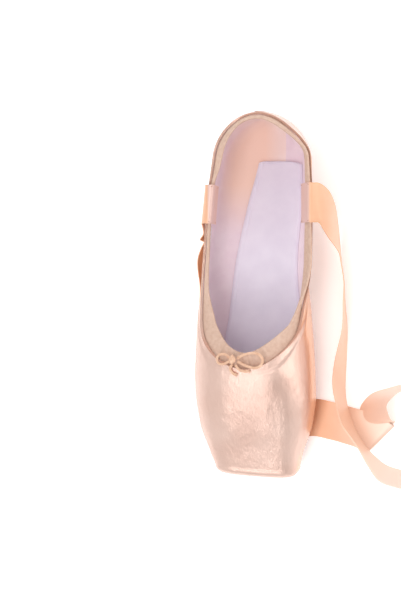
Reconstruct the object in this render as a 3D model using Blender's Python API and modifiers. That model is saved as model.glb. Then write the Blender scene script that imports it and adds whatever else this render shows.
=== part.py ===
"""A satin pointe shoe for the right foot, standing empty on its sole.

Metres, +Z up. The toe points along -Y, the inner (big toe) side of the foot is +X, and the
origin is on the floor under the heel. Upper, binding, insole and outsole all come from one
surface, last_point(), the outside of the satin. A Place says where along the shoe a section
stands: it runs from the toe platform back along the inner side, turns about the heel and runs
forward along the outer side. An angle says where on that half section a point lies: 0 under
the foot, 90 degrees at the widest and 180 degrees on top.
"""

import math
from collections import namedtuple
from functools import lru_cache

import bmesh
import bpy
from mathutils import Vector

# Driving dimensions
LENGTH = 0.235            # heel back to toe platform
BALL_WIDTH = 0.078        # widest, over the satin
INSTEP_HEIGHT = 0.054     # top of the vamp at the throat, above the floor
HEEL_RADIUS = 0.031       # heel back to the axis that the heel's sections turn about
HEEL_SEAT = 0.030         # heel back to the origin
SWAY = 0.0045             # how far the middle bows out to the little toe side
ARCH_RISE = 0.006         # lift of the waist off the floor
TOE_SPRING = 0.004        # lift of the toe off the floor
THROAT = 0.165            # heel back to the front of the opening
THROAT_ROUND = 0.027      # length of the opening's round front
PLATFORM_LEAN = 0.0015    # how far the platform's top edge stands ahead of its middle
PLATFORM_EDGE = 0.0042    # rounding between vamp and platform
PLATFORM_CROWN = 0.0006   # bulge of the platform's face

# Walls, layers and clearances
CLEARANCE = 0.0003        # between pieces that touch
QUARTER_WALL = 0.0015     # satin and lining
BOX_WALL = 0.0028         # satin, paste layers and lining
WING_STEP = 0.0007        # the box's stiff edge, standing proud of the soft quarters
WING_SLOPE = 0.003        # length over which that step rises
OUTSOLE_THICKNESS = 0.0025
OUTSOLE_TIP = 0.196       # heel back to the outsole's front
OUTSOLE_ROUND = 0.022     # length of its round front
SEAM_MARGIN = 0.006       # upper held between outsole and insole
INSOLE_THICKNESS = 0.0022
INSOLE_TIP = 0.208
INSOLE_ROUND = 0.020
INSOLE_BACK = 0.0025      # from the heel's axis back to the insole's rear end
INSOLE_CORNER = 2.8       # how square that end is, as the power of a superellipse
BINDING_HEIGHT = 0.0085   # drawstring casing, across the tape
BINDING_LAP = 0.0035      # how much of it is behind the upper's edge
BINDING_THICKNESS = 0.0020

# Drawstring, tied in a bow at the throat
CORD_THICKNESS = 0.0014
KNOT_SIZE = (0.0044, 0.0056, 0.0036)
KNOT_BACK = 0.0060        # from the upper's edge to the knot's middle, towards the heel
KNOT_ACROSS = -0.0055     # it is tied a little towards the little toe
KNOT_LIFT = -0.0004       # its middle off the vamp's form, over the casing

# Ribbons, one sewn inside each side of the collar
RIBBON_WIDTH = 0.025
RIBBON_THICKNESS = 0.0006

# Sections from heel to toe, at shares of LENGTH. width is a share of BALL_WIDTH; widest, top
# and collar are heights, as shares of INSTEP_HEIGHT, and behind the throat top is where the
# section would close; outsole and insole are shares of the section's width; low and high are
# the powers of the superellipses below and above the widest point. waist is how much narrower
# the inner half is, flare how far the inner wall leans out at the collar and shift how far the
# insole is glued in towards the inner side, all as shares of BALL_WIDTH.
Section = namedtuple(
    "Section", "at width widest top collar outsole insole low high waist flare shift"
)
SECTIONS = [
    Section(0.00, 0.750, 0.34, 1.42, 0.90, 0.74, 0.50, 3.4, 2.5, 0.060, 0.050, 0.095),
    Section(0.12, 0.780, 0.36, 1.36, 0.85, 0.68, 0.53, 3.4, 2.4, 0.000, 0.105, 0.095),
    Section(0.25, 0.860, 0.38, 1.24, 0.76, 0.52, 0.62, 3.0, 2.3, 0.020, 0.115, 0.084),
    Section(0.40, 0.890, 0.40, 1.13, 0.70, 0.40, 0.67, 2.8, 2.3, 0.030, 0.120, 0.060),
    Section(0.55, 0.940, 0.42, 1.06, 0.74, 0.54, 0.72, 3.2, 2.2, 0.010, 0.050, 0.036),
    Section(0.70, 0.990, 0.43, 1.00, 0.86, 0.66, 0.80, 3.6, 2.2, 0.000, 0.000, 0.020),
    Section(0.77, 1.000, 0.42, 0.92, 0.90, 0.68, 0.79, 3.8, 2.3, 0.000, 0.000, 0.012),
    Section(0.86, 0.945, 0.40, 0.79, 0.90, 0.62, 0.66, 4.0, 2.6, 0.010, 0.000, 0.000),
    Section(0.94, 0.805, 0.37, 0.65, 0.90, 0.50, 0.50, 4.0, 3.0, 0.025, 0.000, 0.000),
    Section(1.00, 0.680, 0.33, 0.55, 0.90, 0.40, 0.40, 4.0, 3.4, 0.010, 0.000, 0.000),
]

# The box's edge: how far along LENGTH it runs at each angle of the section.
WingEdge = namedtuple("WingEdge", "at share")
WING_EDGE = [
    WingEdge(0, 0.400),
    WingEdge(60, 0.430),
    WingEdge(90, 0.490),
    WingEdge(112, 0.570),
    WingEdge(130, 0.640),
    WingEdge(150, 0.690),
    WingEdge(180, 0.720),
]

WING_FADE = (40, 60)      # degrees; the step runs out beside the outsole

# The casing along LENGTH, on each side: how far it stands above the upper's edge, as a share
# of BINDING_HEIGHT, and how many degrees that part leans in over the opening.
CasingRow = namedtuple("CasingRow", "at inner outer inner_lean outer_lean")
CASING = [
    CasingRow(0.00, 0.62, 0.62, 4, 4),
    CasingRow(0.04, 0.62, 0.68, 4, 28),
    CasingRow(0.11, 0.59, 0.73, 0, 35),
    CasingRow(0.15, 0.59, 0.72, 0, 28),
    CasingRow(0.21, 0.59, 0.62, 0, 0),
    CasingRow(0.31, 0.59, 0.59, 0, 0),
    CasingRow(0.42, 0.65, 0.60, 0, 10),
    CasingRow(0.49, 0.76, 0.74, 0, 12),
    CasingRow(0.53, 0.86, 0.92, 0, 20),
    CasingRow(0.58, 0.96, 1.08, 3, 31),
    CasingRow(0.64, 1.08, 1.18, 4, 25),
    CasingRow(0.68, 1.18, 1.18, 0, 8),
    CasingRow(0.71, 1.18, 1.18, 0, 0),
]

# The bow's cords, from the knot's middle: across towards the inner side, back towards the
# heel, and up off the vamp's form. They lie on the casing and a little over the satin.
CordPoint = namedtuple("CordPoint", "across back lift")
LOOP_INNER = [
    CordPoint(0.0027, 0.0008, 0.0002),
    CordPoint(0.0065, 0.0030, 0.0008),
    CordPoint(0.0115, 0.0046, 0.0013),
    CordPoint(0.0160, 0.0040, 0.0015),
    CordPoint(0.0185, 0.0006, 0.0015),
    CordPoint(0.0172, -0.0032, 0.0014),
    CordPoint(0.0135, -0.0048, 0.0012),
    CordPoint(0.0080, -0.0036, 0.0008),
    CordPoint(0.0027, -0.0012, 0.0002),
]
LOOP_OUTER = [
    CordPoint(-0.0027, 0.0008, 0.0002),
    CordPoint(-0.0054, 0.0028, 0.0007),
    CordPoint(-0.0088, 0.0024, 0.0012),
    CordPoint(-0.0106, -0.0004, 0.0014),
    CordPoint(-0.0096, -0.0030, 0.0014),
    CordPoint(-0.0064, -0.0034, 0.0010),
    CordPoint(-0.0027, -0.0014, 0.0002),
]
END_INNER = [
    CordPoint(0.0013, -0.0034, 0.0003),
    CordPoint(0.0034, -0.0060, 0.0011),
    CordPoint(0.0068, -0.0072, 0.0013),
    CordPoint(0.0102, -0.0070, 0.0013),
]
END_OUTER = [
    CordPoint(-0.0009, -0.0034, 0.0003),
    CordPoint(-0.0019, -0.0060, 0.0012),
    CordPoint(-0.0006, -0.0086, 0.0014),
    CordPoint(0.0018, -0.0098, 0.0014),
]

# The ribbons' routes: the ribbon's middle, the direction across it from its rear edge to its
# front edge, and how far the front half curls up, in degrees. Each starts inside the collar,
# goes over its edge and comes down to the floor.
RibbonRow = namedtuple("RibbonRow", "x y z across_x across_y across_z curl")
RIBBON_INNER = [
    RibbonRow(0.0272, -0.0290, 0.0366, 0, -20, -3, 0),
    RibbonRow(0.0288, -0.0290, 0.0391, 0, -20, -3, 0),
    RibbonRow(0.0306, -0.0290, 0.0420, 0, -20, -3, 0),
    RibbonRow(0.0330, -0.0290, 0.0460, 0, -20, -3, 0),
    RibbonRow(0.0350, -0.0290, 0.0471, 0, -20, -3, 0),
    RibbonRow(0.0373, -0.0290, 0.0463, 0, -20, -3, 0),
    RibbonRow(0.0404, -0.0292, 0.0445, 0, -22, -2, 0),
    RibbonRow(0.0438, -0.0330, 0.0400, -2, -24, 5, 0),
    RibbonRow(0.0465, -0.0395, 0.0335, -1, -21, 11, 0),
    RibbonRow(0.0480, -0.0470, 0.0245, 2, -16, 17, 0),
    RibbonRow(0.0490, -0.0565, 0.0164, 4, -7, 23, 0),
    RibbonRow(0.0500, -0.0665, 0.0133, 4, -1, 24, 0),
    RibbonRow(0.0520, -0.0780, 0.0129, 4, 0, 24, 0),
    RibbonRow(0.0525, -0.0905, 0.0129, 3, 1, 24, 0),
    RibbonRow(0.0535, -0.1085, 0.0129, 1, 1, 24, 0),
    RibbonRow(0.0515, -0.1300, 0.0129, -3, 2, 24, 0),
    RibbonRow(0.0510, -0.1460, 0.0133, -4, 4, 24, 0),
    RibbonRow(0.0535, -0.1585, 0.0146, -3, 3, 24, 0),
    RibbonRow(0.0575, -0.1700, 0.0151, -3, 2, 24, 0),
    RibbonRow(0.0630, -0.1785, 0.0153, -2, 3, 24, 0),
    RibbonRow(0.0690, -0.1865, 0.0152, -2, 3, 24, 0),
    RibbonRow(0.0745, -0.1940, 0.0142, -1, -2, 24, 0),
    RibbonRow(0.0815, -0.2010, 0.0130, -1, -6, 24, 0),
    RibbonRow(0.0920, -0.2040, 0.0125, 0, -7, 24, 0),
    RibbonRow(0.1080, -0.2055, 0.0124, 0, -7, 24, 0),
    RibbonRow(0.1280, -0.2020, 0.0120, 3, -9, 23, 0),
    RibbonRow(0.1440, -0.1900, 0.0108, 8, -12, 20, 0),
    RibbonRow(0.1540, -0.1710, 0.0080, 16, -10, 14, 0),
    RibbonRow(0.1580, -0.1480, 0.0043, 22, -5, 6, 0),
    RibbonRow(0.1585, -0.1230, 0.0016, 24, -1, 1, 0),
    RibbonRow(0.1560, -0.0970, 0.0008, 24, 1, 0, 0),
    RibbonRow(0.1540, -0.0710, 0.0008, 24, 2, 0, 0),
]
RIBBON_OUTER = [
    RibbonRow(-0.0300, -0.0310, 0.0330, -2, -20, -3, 0),
    RibbonRow(-0.0298, -0.0310, 0.0390, -2, -20, -3, 0),
    RibbonRow(-0.0290, -0.0310, 0.0432, -2, -20, -3, 0),
    RibbonRow(-0.0296, -0.0310, 0.0462, -2, -20, -3, 0),
    RibbonRow(-0.0318, -0.0310, 0.0469, -2, -20, -3, 0),
    RibbonRow(-0.0342, -0.0310, 0.0456, -2, -20, -3, 0),
    RibbonRow(-0.0362, -0.0310, 0.0424, -2, -20, -2, 0),
    RibbonRow(-0.0376, -0.0315, 0.0370, -2, -20, -1, 0),
    RibbonRow(-0.0390, -0.0335, 0.0300, -1, -20, 3, 0),
    RibbonRow(-0.0402, -0.0380, 0.0225, 0, -16, 8, 0),
    RibbonRow(-0.0412, -0.0455, 0.0155, 0, -10, 14, 15),
    RibbonRow(-0.0420, -0.0560, 0.0118, -4, -4, 12, 20),
    RibbonRow(-0.0412, -0.0690, 0.0062, -12, -1, 6, 55),
    RibbonRow(-0.0410, -0.0830, 0.0016, -20, 0, 1, 90),
    RibbonRow(-0.0418, -0.1000, 0.0008, -20, 0, 0, 100),
    RibbonRow(-0.0424, -0.1200, 0.0008, -20, 0, 0, 100),
    RibbonRow(-0.0434, -0.1400, 0.0008, -20, 0, 0, 100),
    RibbonRow(-0.0422, -0.1530, 0.0008, -20, -3, 0, 98),
    RibbonRow(-0.0378, -0.1650, 0.0008, -18, -9, 0, 85),
    RibbonRow(-0.0295, -0.1735, 0.0008, -12, -16, 0, 40),
    RibbonRow(-0.0180, -0.1790, 0.0008, -5, -20, 0, 8),
    RibbonRow(0.0000, -0.1808, 0.0008, 0, -20, 0, 0),
    RibbonRow(0.0170, -0.1762, 0.0008, 1, -20, 0, 0),
    RibbonRow(0.0310, -0.1698, 0.0008, -1, -20, 0, 0),
    RibbonRow(0.0445, -0.1710, 0.0009, -1, -20, 0, 0),
    RibbonRow(0.0545, -0.1730, 0.0013, -1, -20, 0, 0),
    RibbonRow(0.0625, -0.1748, 0.0018, -2, -20, 0, 0),
    RibbonRow(0.0705, -0.1775, 0.0021, -8, -19, 0, 0),
    RibbonRow(0.0765, -0.1803, 0.0022, -14, -17, 0, 0),
    RibbonRow(0.0781, -0.1809, 0.0014, -15, -16, 0, 0),
    RibbonRow(0.0765, -0.1790, 0.0006, -16, -15, 0, 0),
    RibbonRow(0.0752, -0.1725, 0.0012, -18, -6, -1, 0),
    RibbonRow(0.0742, -0.1655, 0.0052, -18, 2, -8, 0),
    RibbonRow(0.0745, -0.1575, 0.0094, -17, 1, -17, 0),
    RibbonRow(0.0790, -0.1515, 0.0112, -14, 1, -20, 0),
    RibbonRow(0.0870, -0.1470, 0.0123, -9, 0, -23, 0),
    RibbonRow(0.0970, -0.1435, 0.0128, -4, 2, -24, 0),
    RibbonRow(0.1085, -0.1360, 0.0128, 3, 4, -24, 0),
    RibbonRow(0.1180, -0.1220, 0.0122, 8, 2, -23, 0),
    RibbonRow(0.1225, -0.1020, 0.0112, 13, 1, -21, 0),
    RibbonRow(0.1235, -0.0780, 0.0080, 20, 0, -14, 0),
    RibbonRow(0.1225, -0.0520, 0.0028, 24, 0, -4, 0),
    RibbonRow(0.1215, -0.0260, 0.0008, 25, 0, 0, 0),
]

ARCH_SPAN = (0.21, 0.60)  # the sole leaves the floor and meets it again, shares of LENGTH
TOE_LIFT_FROM = 0.78      # and leaves it for good
BOX_WALL_SPAN = (0.50, 0.72)

# How finely the solids are cut
FACE_RINGS = 3            # from the middle of the platform's face to its edge
EDGE_RINGS = 4            # over that edge
TOE_STATIONS = 7          # from the edge to the front of the opening underneath
SOLE_STATIONS = (4, 2)    # along that opening's round end, and from there to the throat
THROAT_STATIONS = 7       # along the collar's round front
QUARTER_STATIONS = 13     # from there to the heel's axis
HEEL_SECTIONS = 12        # round the heel
WALL_COLUMNS = 15         # round half of the upper, on each face
PLATE_COLUMNS = 3         # from the rim of a sole piece to the centre line
PLATE_LENGTHS = (5, 20)   # stations in a sole piece's round end and behind it
CASING_RINGS = 76
CASING_SAMPLES = (60, 120, 90)  # the throat, the sides and the heel, before rings are picked
CASING_ROUNDING = 0.35    # of its corners, as a share of its thickness
KNOT_SEGMENTS = (14, 8)
CORD_STEPS = 3            # between two rows of a cord's table
RIBBON_STEPS = 2
RIBBON_INNER_COLUMNS = 2  # across the ribbon; the outer one curls
RIBBON_OUTER_COLUMNS = 4
SHARP_ANGLE = math.radians(40)
ARC_SAMPLES = 160         # for cutting a section into equal lengths
NORMAL_STEP = 0.0004      # between the points that give a normal, along the shoe
NORMAL_TURN = 0.02        # and round its section, in radians
NORMAL_REST = 0.03        # a normal is taken this far or more from the section's top

# A section's place: distance from the heel back, turn about the heel (0 on the inner side),
# turn over the platform's edge, and how far the platform's face has closed in.
Place = namedtuple("Place", "along turn edge shrink")


def smooth_step(x):
    x = min(max(x, 0.0), 1.0)
    return x * x * (3 - 2 * x)


def round_end(distance, length):
    """Share of the full width at a distance from a round end."""
    x = min(max(distance / length, 0.0), 1.0)
    return math.sqrt(1 - (1 - x) ** 2)


def read_table(rows, column, at):
    """Monotone cubic through one column of a table whose first column is at."""
    rows = sorted(rows)
    at = min(max(at, rows[0].at), rows[-1].at)
    spans = list(zip(rows, rows[1:]))
    slopes = [(getattr(b, column) - getattr(a, column)) / (b.at - a.at) for a, b in spans]
    i = next(k for k, (_, b) in enumerate(spans) if at <= b.at)

    def tangent(k):
        if k == 0 or k == len(spans):
            return slopes[min(k, len(spans) - 1)]
        before, after = slopes[k - 1], slopes[k]
        return 2 * before * after / (before + after) if before * after > 0 else 0.0

    a, b = spans[i]
    step = b.at - a.at
    x = (at - a.at) / step
    low, high = getattr(a, column), getattr(b, column)
    return (
        low * (1 + 2 * x) * (1 - x) ** 2
        + high * x * x * (3 - 2 * x)
        + step * x * (1 - x) * (tangent(i) * (1 - x) - tangent(i + 1) * x)
    )


@lru_cache(maxsize=None)
def shape(column, at):
    return read_table(SECTIONS, column, at)


def share_along(place):
    """A place's share of LENGTH; the heel's turned sections use what is behind its axis."""
    if place.turn in (0.0, math.pi):
        return place.along / LENGTH
    return HEEL_RADIUS * (1 - math.sin(place.turn)) / LENGTH


def floor_gap(at):
    """Height of the outsole's underside."""
    first, last = ARCH_SPAN
    x = min(max((at - first) / (last - first), 0.0), 1.0)
    spring = max(at - TOE_LIFT_FROM, 0.0) / (1 - TOE_LIFT_FROM)
    return ARCH_RISE * math.sin(math.pi * x) ** 2 + TOE_SPRING * spring**2


def sway(along):
    at = along / LENGTH
    return -4 * SWAY * at * (1 - at)


def settle(x, along, z):
    """Bows a point's plan and gives it in the part's frame."""
    return Vector((x + sway(along), HEEL_SEAT - along, z))


def section_sizes(place, depth):
    """Half width, underside, widest height and top of the section, depth inside the satin."""
    at = share_along(place)
    inset = PLATFORM_EDGE - (PLATFORM_EDGE - depth) * math.cos(place.edge)
    inner = max(math.cos(place.turn), 0.0)
    half = (shape("width", at) / 2 - inner * shape("waist", at)) * BALL_WIDTH - inset
    under = floor_gap(at) + OUTSOLE_THICKNESS + CLEARANCE + inset
    middle = shape("widest", at) * INSTEP_HEIGHT
    top = shape("top", at) * INSTEP_HEIGHT - inset
    return half, under, middle, top


def last_point(place, angle, depth=0.0):
    """A point of the shoe's form, depth inside the satin."""
    at = share_along(place)
    half, under, middle, top = section_sizes(place, depth)
    far = top if angle > math.pi / 2 else under
    power = shape("high" if angle > math.pi / 2 else "low", at)
    reach = math.sin(angle) ** (2 / power) if 0 < angle < math.pi else 0.0
    rise = abs(math.cos(angle)) ** (2 / power)
    z = middle + (far - middle) * rise * place.shrink
    across = half * reach * place.shrink
    if angle > math.pi / 2:
        lean = (z - middle) / (shape("collar", at) * INSTEP_HEIGHT - middle)
        flare = shape("flare", at) * smooth_step((THROAT - place.along) / THROAT_ROUND)
        across += max(math.cos(place.turn), 0.0) * flare * BALL_WIDTH * lean**2
    along = place.along + (PLATFORM_EDGE - depth) * math.sin(place.edge)
    along += PLATFORM_CROWN * (1 - place.shrink**2)
    along += PLATFORM_LEAN * smooth_step((at - 0.9) / 0.1) * (z - middle) / (top - middle)
    back = reach * (HEEL_RADIUS - depth) * math.sin(place.turn)
    return settle(across * math.cos(place.turn), along - back, z)


def wall_at(place):
    first, last = BOX_WALL_SPAN
    x = (share_along(place) - first) / (last - first)
    return QUARTER_WALL + (BOX_WALL - QUARTER_WALL) * smooth_step(x)


def satin_point(place, angle):
    """The upper's outside: the form, with the box's edge standing proud."""
    degrees = math.degrees(angle)
    edge = read_table(WING_EDGE, "share", degrees)
    ahead = smooth_step((share_along(place) - edge) * LENGTH / WING_SLOPE)
    first, last = WING_FADE
    shown = smooth_step((degrees - first) / (last - first))
    shown += (1 - shown) * math.sin(place.edge)
    return last_point(place, angle, -WING_STEP * ahead * shown)


def collar_angle(place):
    """Where the upper's top edge crosses a section."""
    if place.along >= THROAT:
        return math.pi
    at = share_along(place)
    half, _, middle, top = section_sizes(place, 0.0)
    power = shape("high", at)
    height = (shape("collar", at) * INSTEP_HEIGHT - middle) / (top - middle)
    reach = (1 - height**power) ** (1 / power) * round_end(THROAT - place.along, THROAT_ROUND)
    return math.pi - math.asin(reach ** (power / 2))


def insole_share(place):
    """The insole's edge as a share of the section's width; its rear end is a rounded square."""
    side = place._replace(turn=0.0 if math.cos(place.turn) > 0 else math.pi)
    at = share_along(side)
    shift = shape("shift", at) * BALL_WIDTH / section_sizes(side, 0.0)[0]
    share = shape("insole", at) + shift * math.cos(side.turn)
    if place.turn in (0.0, math.pi):
        return share
    back = INSOLE_BACK / HEEL_RADIUS
    sideways = (abs(math.cos(place.turn)) / share) ** INSOLE_CORNER
    backwards = (math.sin(place.turn) / back) ** INSOLE_CORNER
    return (sideways + backwards) ** (-1 / INSOLE_CORNER)


def under_share(place, column):
    """Share of the section's width that the outsole, the insole or the opening covers."""
    at = share_along(place)
    if column == "insole":
        return insole_share(place) * round_end(INSOLE_TIP - place.along, INSOLE_ROUND)
    if column == "outsole":
        return shape("outsole", at) * round_end(OUTSOLE_TIP - place.along, OUTSOLE_ROUND)
    margin = SEAM_MARGIN / section_sizes(place, 0.0)[0]
    covered = max(min(insole_share(place), shape("outsole", at)) - margin, 0.0)
    return covered * round_end(OUTSOLE_TIP - SEAM_MARGIN - place.along, OUTSOLE_ROUND)


def feather_angle(place):
    """Where the upper's lower edge crosses a section, under the outsole's rim."""
    share = under_share(place, "opening")
    return math.asin(share ** (shape("low", share_along(place)) / 2))


def toe_places():
    """From the middle of the platform's face out and over its edge."""
    neck = LENGTH - PLATFORM_EDGE
    face = [Place(neck, 0.0, math.pi / 2, k / FACE_RINGS) for k in range(FACE_RINGS)]
    turns = spread(math.pi / 2, 0.0, EDGE_RINGS)
    return face + [Place(neck, 0.0, turn, 1.0) for turn in turns]


def spread(start, end, count):
    return [start + (end - start) * k / count for k in range(count)]


def rounding(tip, length, count):
    """Stations from a round end backwards, closest together at the end."""
    return [tip - length * (1 - math.cos(math.pi / 2 * k / count)) for k in range(count)]


def side_stations():
    """Distances from the heel back where sections stand, from toe to heel."""
    opening_tip = OUTSOLE_TIP - SEAM_MARGIN
    in_round, behind = SOLE_STATIONS
    return (
        spread(LENGTH - PLATFORM_EDGE, opening_tip, TOE_STATIONS)
        + rounding(opening_tip, OUTSOLE_ROUND, in_round)
        + spread(opening_tip - OUTSOLE_ROUND, THROAT, behind)
        + rounding(THROAT, THROAT_ROUND, THROAT_STATIONS)
        + spread(THROAT - THROAT_ROUND, HEEL_RADIUS, QUARTER_STATIONS)
    )


def all_places(toe, sides, heel_count):
    """Inner side from toe to heel, round the heel, and back along the outer side."""
    inner = toe + [Place(along, 0.0, 0.0, 1.0) for along in sides]
    heel = [
        Place(HEEL_RADIUS, math.pi * k / heel_count, 0.0, 1.0) for k in range(heel_count + 1)
    ]
    outer = [place._replace(turn=math.pi) for place in reversed(inner)]
    return inner + heel + outer


def even_angles(place, start, end, count):
    """Angles that cut a section's arc into equal lengths."""
    fine = ARC_SAMPLES
    angles = [start + (end - start) * k / fine for k in range(fine + 1)]
    open_place = place._replace(shrink=max(place.shrink, 0.1))
    points = [last_point(open_place, angle) for angle in angles]
    lengths = [0.0]
    for a, b in zip(points, points[1:]):
        lengths.append(lengths[-1] + (b - a).length)
    found = []
    k = 0
    for i in range(count + 1):
        goal = lengths[-1] * i / count
        while k < fine - 1 and lengths[k + 1] < goal:
            k += 1
        x = (goal - lengths[k]) / (lengths[k + 1] - lengths[k])
        found.append(angles[k] + (angles[k + 1] - angles[k]) * min(max(x, 0.0), 1.0))
    return found


def material(name, colour, roughness, metallic=0.0):
    made = bpy.data.materials.new(name)
    made.use_nodes = True
    shader = made.node_tree.nodes["Principled BSDF"]
    shader.inputs["Base Color"].default_value = (*colour, 1.0)
    shader.inputs["Roughness"].default_value = roughness
    shader.inputs["Metallic"].default_value = metallic
    return made


def add_object(name, data, finish):
    data.materials.append(finish)
    made = bpy.data.objects.new(name, data)
    SHOE.objects.link(made)
    made.parent = ROOT
    return made


def solid_from_rings(name, rings, finish, closed=False, open_spans=None):
    """Lofts loops of points into a closed solid.

    Each ring is one closed loop. Rings that meet along a centre line are welded there, and the
    spans of a loop that would fill the inside are left out by open_spans(i, j).
    """
    bm = bmesh.new()
    verts = [[bm.verts.new(point) for point in ring] for ring in rings]
    count = len(rings[0])
    pairs = list(zip(verts, verts[1:])) + ([(verts[-1], verts[0])] if closed else [])
    for i, (a, b) in enumerate(pairs):
        for j in range(count):
            if open_spans and open_spans(i, j):
                continue
            k = (j + 1) % count
            bm.faces.new((a[j], a[k], b[k], b[j]))
    bmesh.ops.remove_doubles(bm, verts=bm.verts, dist=2e-6)
    bmesh.ops.triangulate(bm, faces=bm.faces)
    bmesh.ops.recalc_face_normals(bm, faces=bm.faces)
    mesh = bpy.data.meshes.new(name)
    bm.to_mesh(mesh)
    bm.free()
    mesh.shade_smooth()
    mesh.set_sharp_from_angle(angle=SHARP_ANGLE)
    return add_object(name, mesh, finish)


def make_upper(finish):
    """One hollow wall, open at the collar and underneath."""
    count = WALL_COLUMNS
    places = all_places(toe_places(), side_stations(), HEEL_SECTIONS)
    rings = []
    collar_open = []
    feather_open = []
    for place in places:
        low, high = feather_angle(place), collar_angle(place)
        angles = even_angles(place, low, high, count)
        outside = [satin_point(place, angle) for angle in angles]
        inside = [last_point(place, angle, wall_at(place)) for angle in reversed(angles)]
        rings.append(outside + inside)
        collar_open.append(high < math.pi)
        feather_open.append(low > 0)

    def closed_span(i, j):
        if j == count:
            return not (collar_open[i] or collar_open[i + 1])
        if j == 2 * count + 1:
            return not (feather_open[i] or feather_open[i + 1])
        return False

    return solid_from_rings("upper", rings, finish, open_spans=closed_span)


def under_point(place, share, depth):
    """A point under or inside the foot, on the form's underside at a share of its width."""
    angle = math.asin(min(share, 1.0) ** (shape("low", share_along(place)) / 2))
    return last_point(place, angle, depth)


def make_plate(name, column, finish, top, bottom, tip, length):
    """A sole piece between two heights, from its edge in to the centre line."""
    count = PLATE_COLUMNS
    in_tip, behind = PLATE_LENGTHS
    stations = rounding(tip, length, in_tip) + spread(tip - length, HEEL_RADIUS, behind)
    places = all_places([], stations, HEEL_SECTIONS)
    rings = []
    for place in places:
        share = under_share(place, column)
        shares = [share * (1 - k / count) for k in range(count + 1)]
        above = [top(place, x) for x in shares]
        below = [bottom(place, x) for x in reversed(shares)]
        rings.append(above + below)
    return solid_from_rings(name, rings, finish, open_spans=lambda i, j: j == count)


def make_outsole(finish):
    """Leather, flat across and flat on the floor at heel and forefoot."""

    def top(place, share):
        return under_point(place, share, -CLEARANCE)

    def bottom(place, share):
        point = under_point(place, share, 0.0)
        return Vector((point.x, point.y, floor_gap(share_along(place))))

    return make_plate("outsole", "outsole", finish, top, bottom, OUTSOLE_TIP, OUTSOLE_ROUND)


def make_insole(finish):
    """Board and sock, on the upper's turned-in edge."""

    def top(place, share):
        return under_point(place, share, wall_at(place) + CLEARANCE + INSOLE_THICKNESS)

    def bottom(place, share):
        return under_point(place, share, wall_at(place) + CLEARANCE)

    return make_plate("insole", "insole", finish, top, bottom, INSOLE_TIP, INSOLE_ROUND)


def collar_point(place, depth=0.0):
    return last_point(place, collar_angle(place), depth)


def even_loop(points, count):
    """Indices into a closed loop of points, evenly spaced along it."""
    lengths = [0.0]
    for a, b in zip(points, points[1:]):
        lengths.append(lengths[-1] + (b - a).length)
    goals = [lengths[-1] * k / count for k in range(count)]
    return [min(range(len(points)), key=lambda i: abs(lengths[i] - goal)) for goal in goals]


def collar_normal(place):
    """The form's outward normal at the upper's top edge."""
    step = NORMAL_STEP
    angle = min(collar_angle(place), math.pi - NORMAL_REST)
    if place.turn in (0.0, math.pi):
        ends = [place._replace(along=place.along + k) for k in (-step, step)]
    else:
        ends = [place._replace(turn=place.turn + k / HEEL_RADIUS) for k in (-step, step)]
    along = last_point(ends[1], angle) - last_point(ends[0], angle)
    around = last_point(place, angle + NORMAL_TURN) - last_point(place, angle - NORMAL_TURN)
    normal = along.cross(around).normalized()
    outward = last_point(place, angle, -step) - last_point(place, angle)
    if collar_angle(place) == math.pi:
        normal.x = 0.0
    return normal if normal.dot(outward) > 0 else -normal


def casing_shape(place):
    """How far the casing stands above the upper's edge there, and how far it leans in."""
    at = share_along(place)
    inner = (1 + math.cos(place.turn)) / 2
    above = read_table(CASING, "inner", at) * inner + read_table(CASING, "outer", at) * (1 - inner)
    lean = read_table(CASING, "inner_lean", at) * inner
    lean += read_table(CASING, "outer_lean", at) * (1 - inner)
    return above * BINDING_HEIGHT, math.radians(lean)


def leaning(above, outwards, back, lean):
    """A point of the casing's section, turned in about its back where it meets the edge."""
    if above <= 0:
        return above, outwards
    thick = outwards - back
    return (
        above * math.cos(lean) + thick * math.sin(lean),
        back + thick * math.cos(lean) - above * math.sin(lean),
    )


def make_binding(finish):
    """Drawstring casing: a tape inside the upper's top edge, standing above it."""
    in_throat, along_sides, round_heel = CASING_SAMPLES
    fine = rounding(THROAT, THROAT_ROUND, in_throat)
    fine += spread(THROAT - THROAT_ROUND, HEEL_RADIUS, along_sides)
    places = all_places([], fine, round_heel)
    edge = [collar_point(place, wall_at(place)) for place in places]
    face = -CLEARANCE
    back = face - BINDING_THICKNESS
    rounded = CASING_ROUNDING * BINDING_THICKNESS
    rings = []
    for i in even_loop(edge, CASING_RINGS):
        outward = collar_normal(places[i])
        forward = edge[(i + 1) % len(edge)] - edge[i - 1]
        upward = outward.cross(forward).normalized()
        low = -BINDING_LAP
        high, lean = casing_shape(places[i])
        section = [
            (low, face - rounded),
            (0.0, face),
            (high - rounded, face),
            (high, face - rounded),
            (high, back + rounded),
            (high - rounded, back),
            (0.0, back),
            (low, back),
        ]
        section = [leaning(b, n, back, lean) for b, n in section]
        rings.append([edge[i] + upward * b + outward * n for b, n in section])
    return solid_from_rings("binding", rings, finish, closed=True)


def on_vamp(row):
    """A bow point, measured from the knot, laid over the vamp's form."""
    across = KNOT_ACROSS + row.across
    place = Place(THROAT - KNOT_BACK - row.back, 0.0 if across >= 0 else math.pi, 0.0, 1.0)
    half = section_sizes(place, 0.0)[0]
    power = shape("high", share_along(place))
    angle = math.pi - math.asin((abs(across) / half) ** (power / 2))
    return last_point(place, angle, -row.lift)


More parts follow.
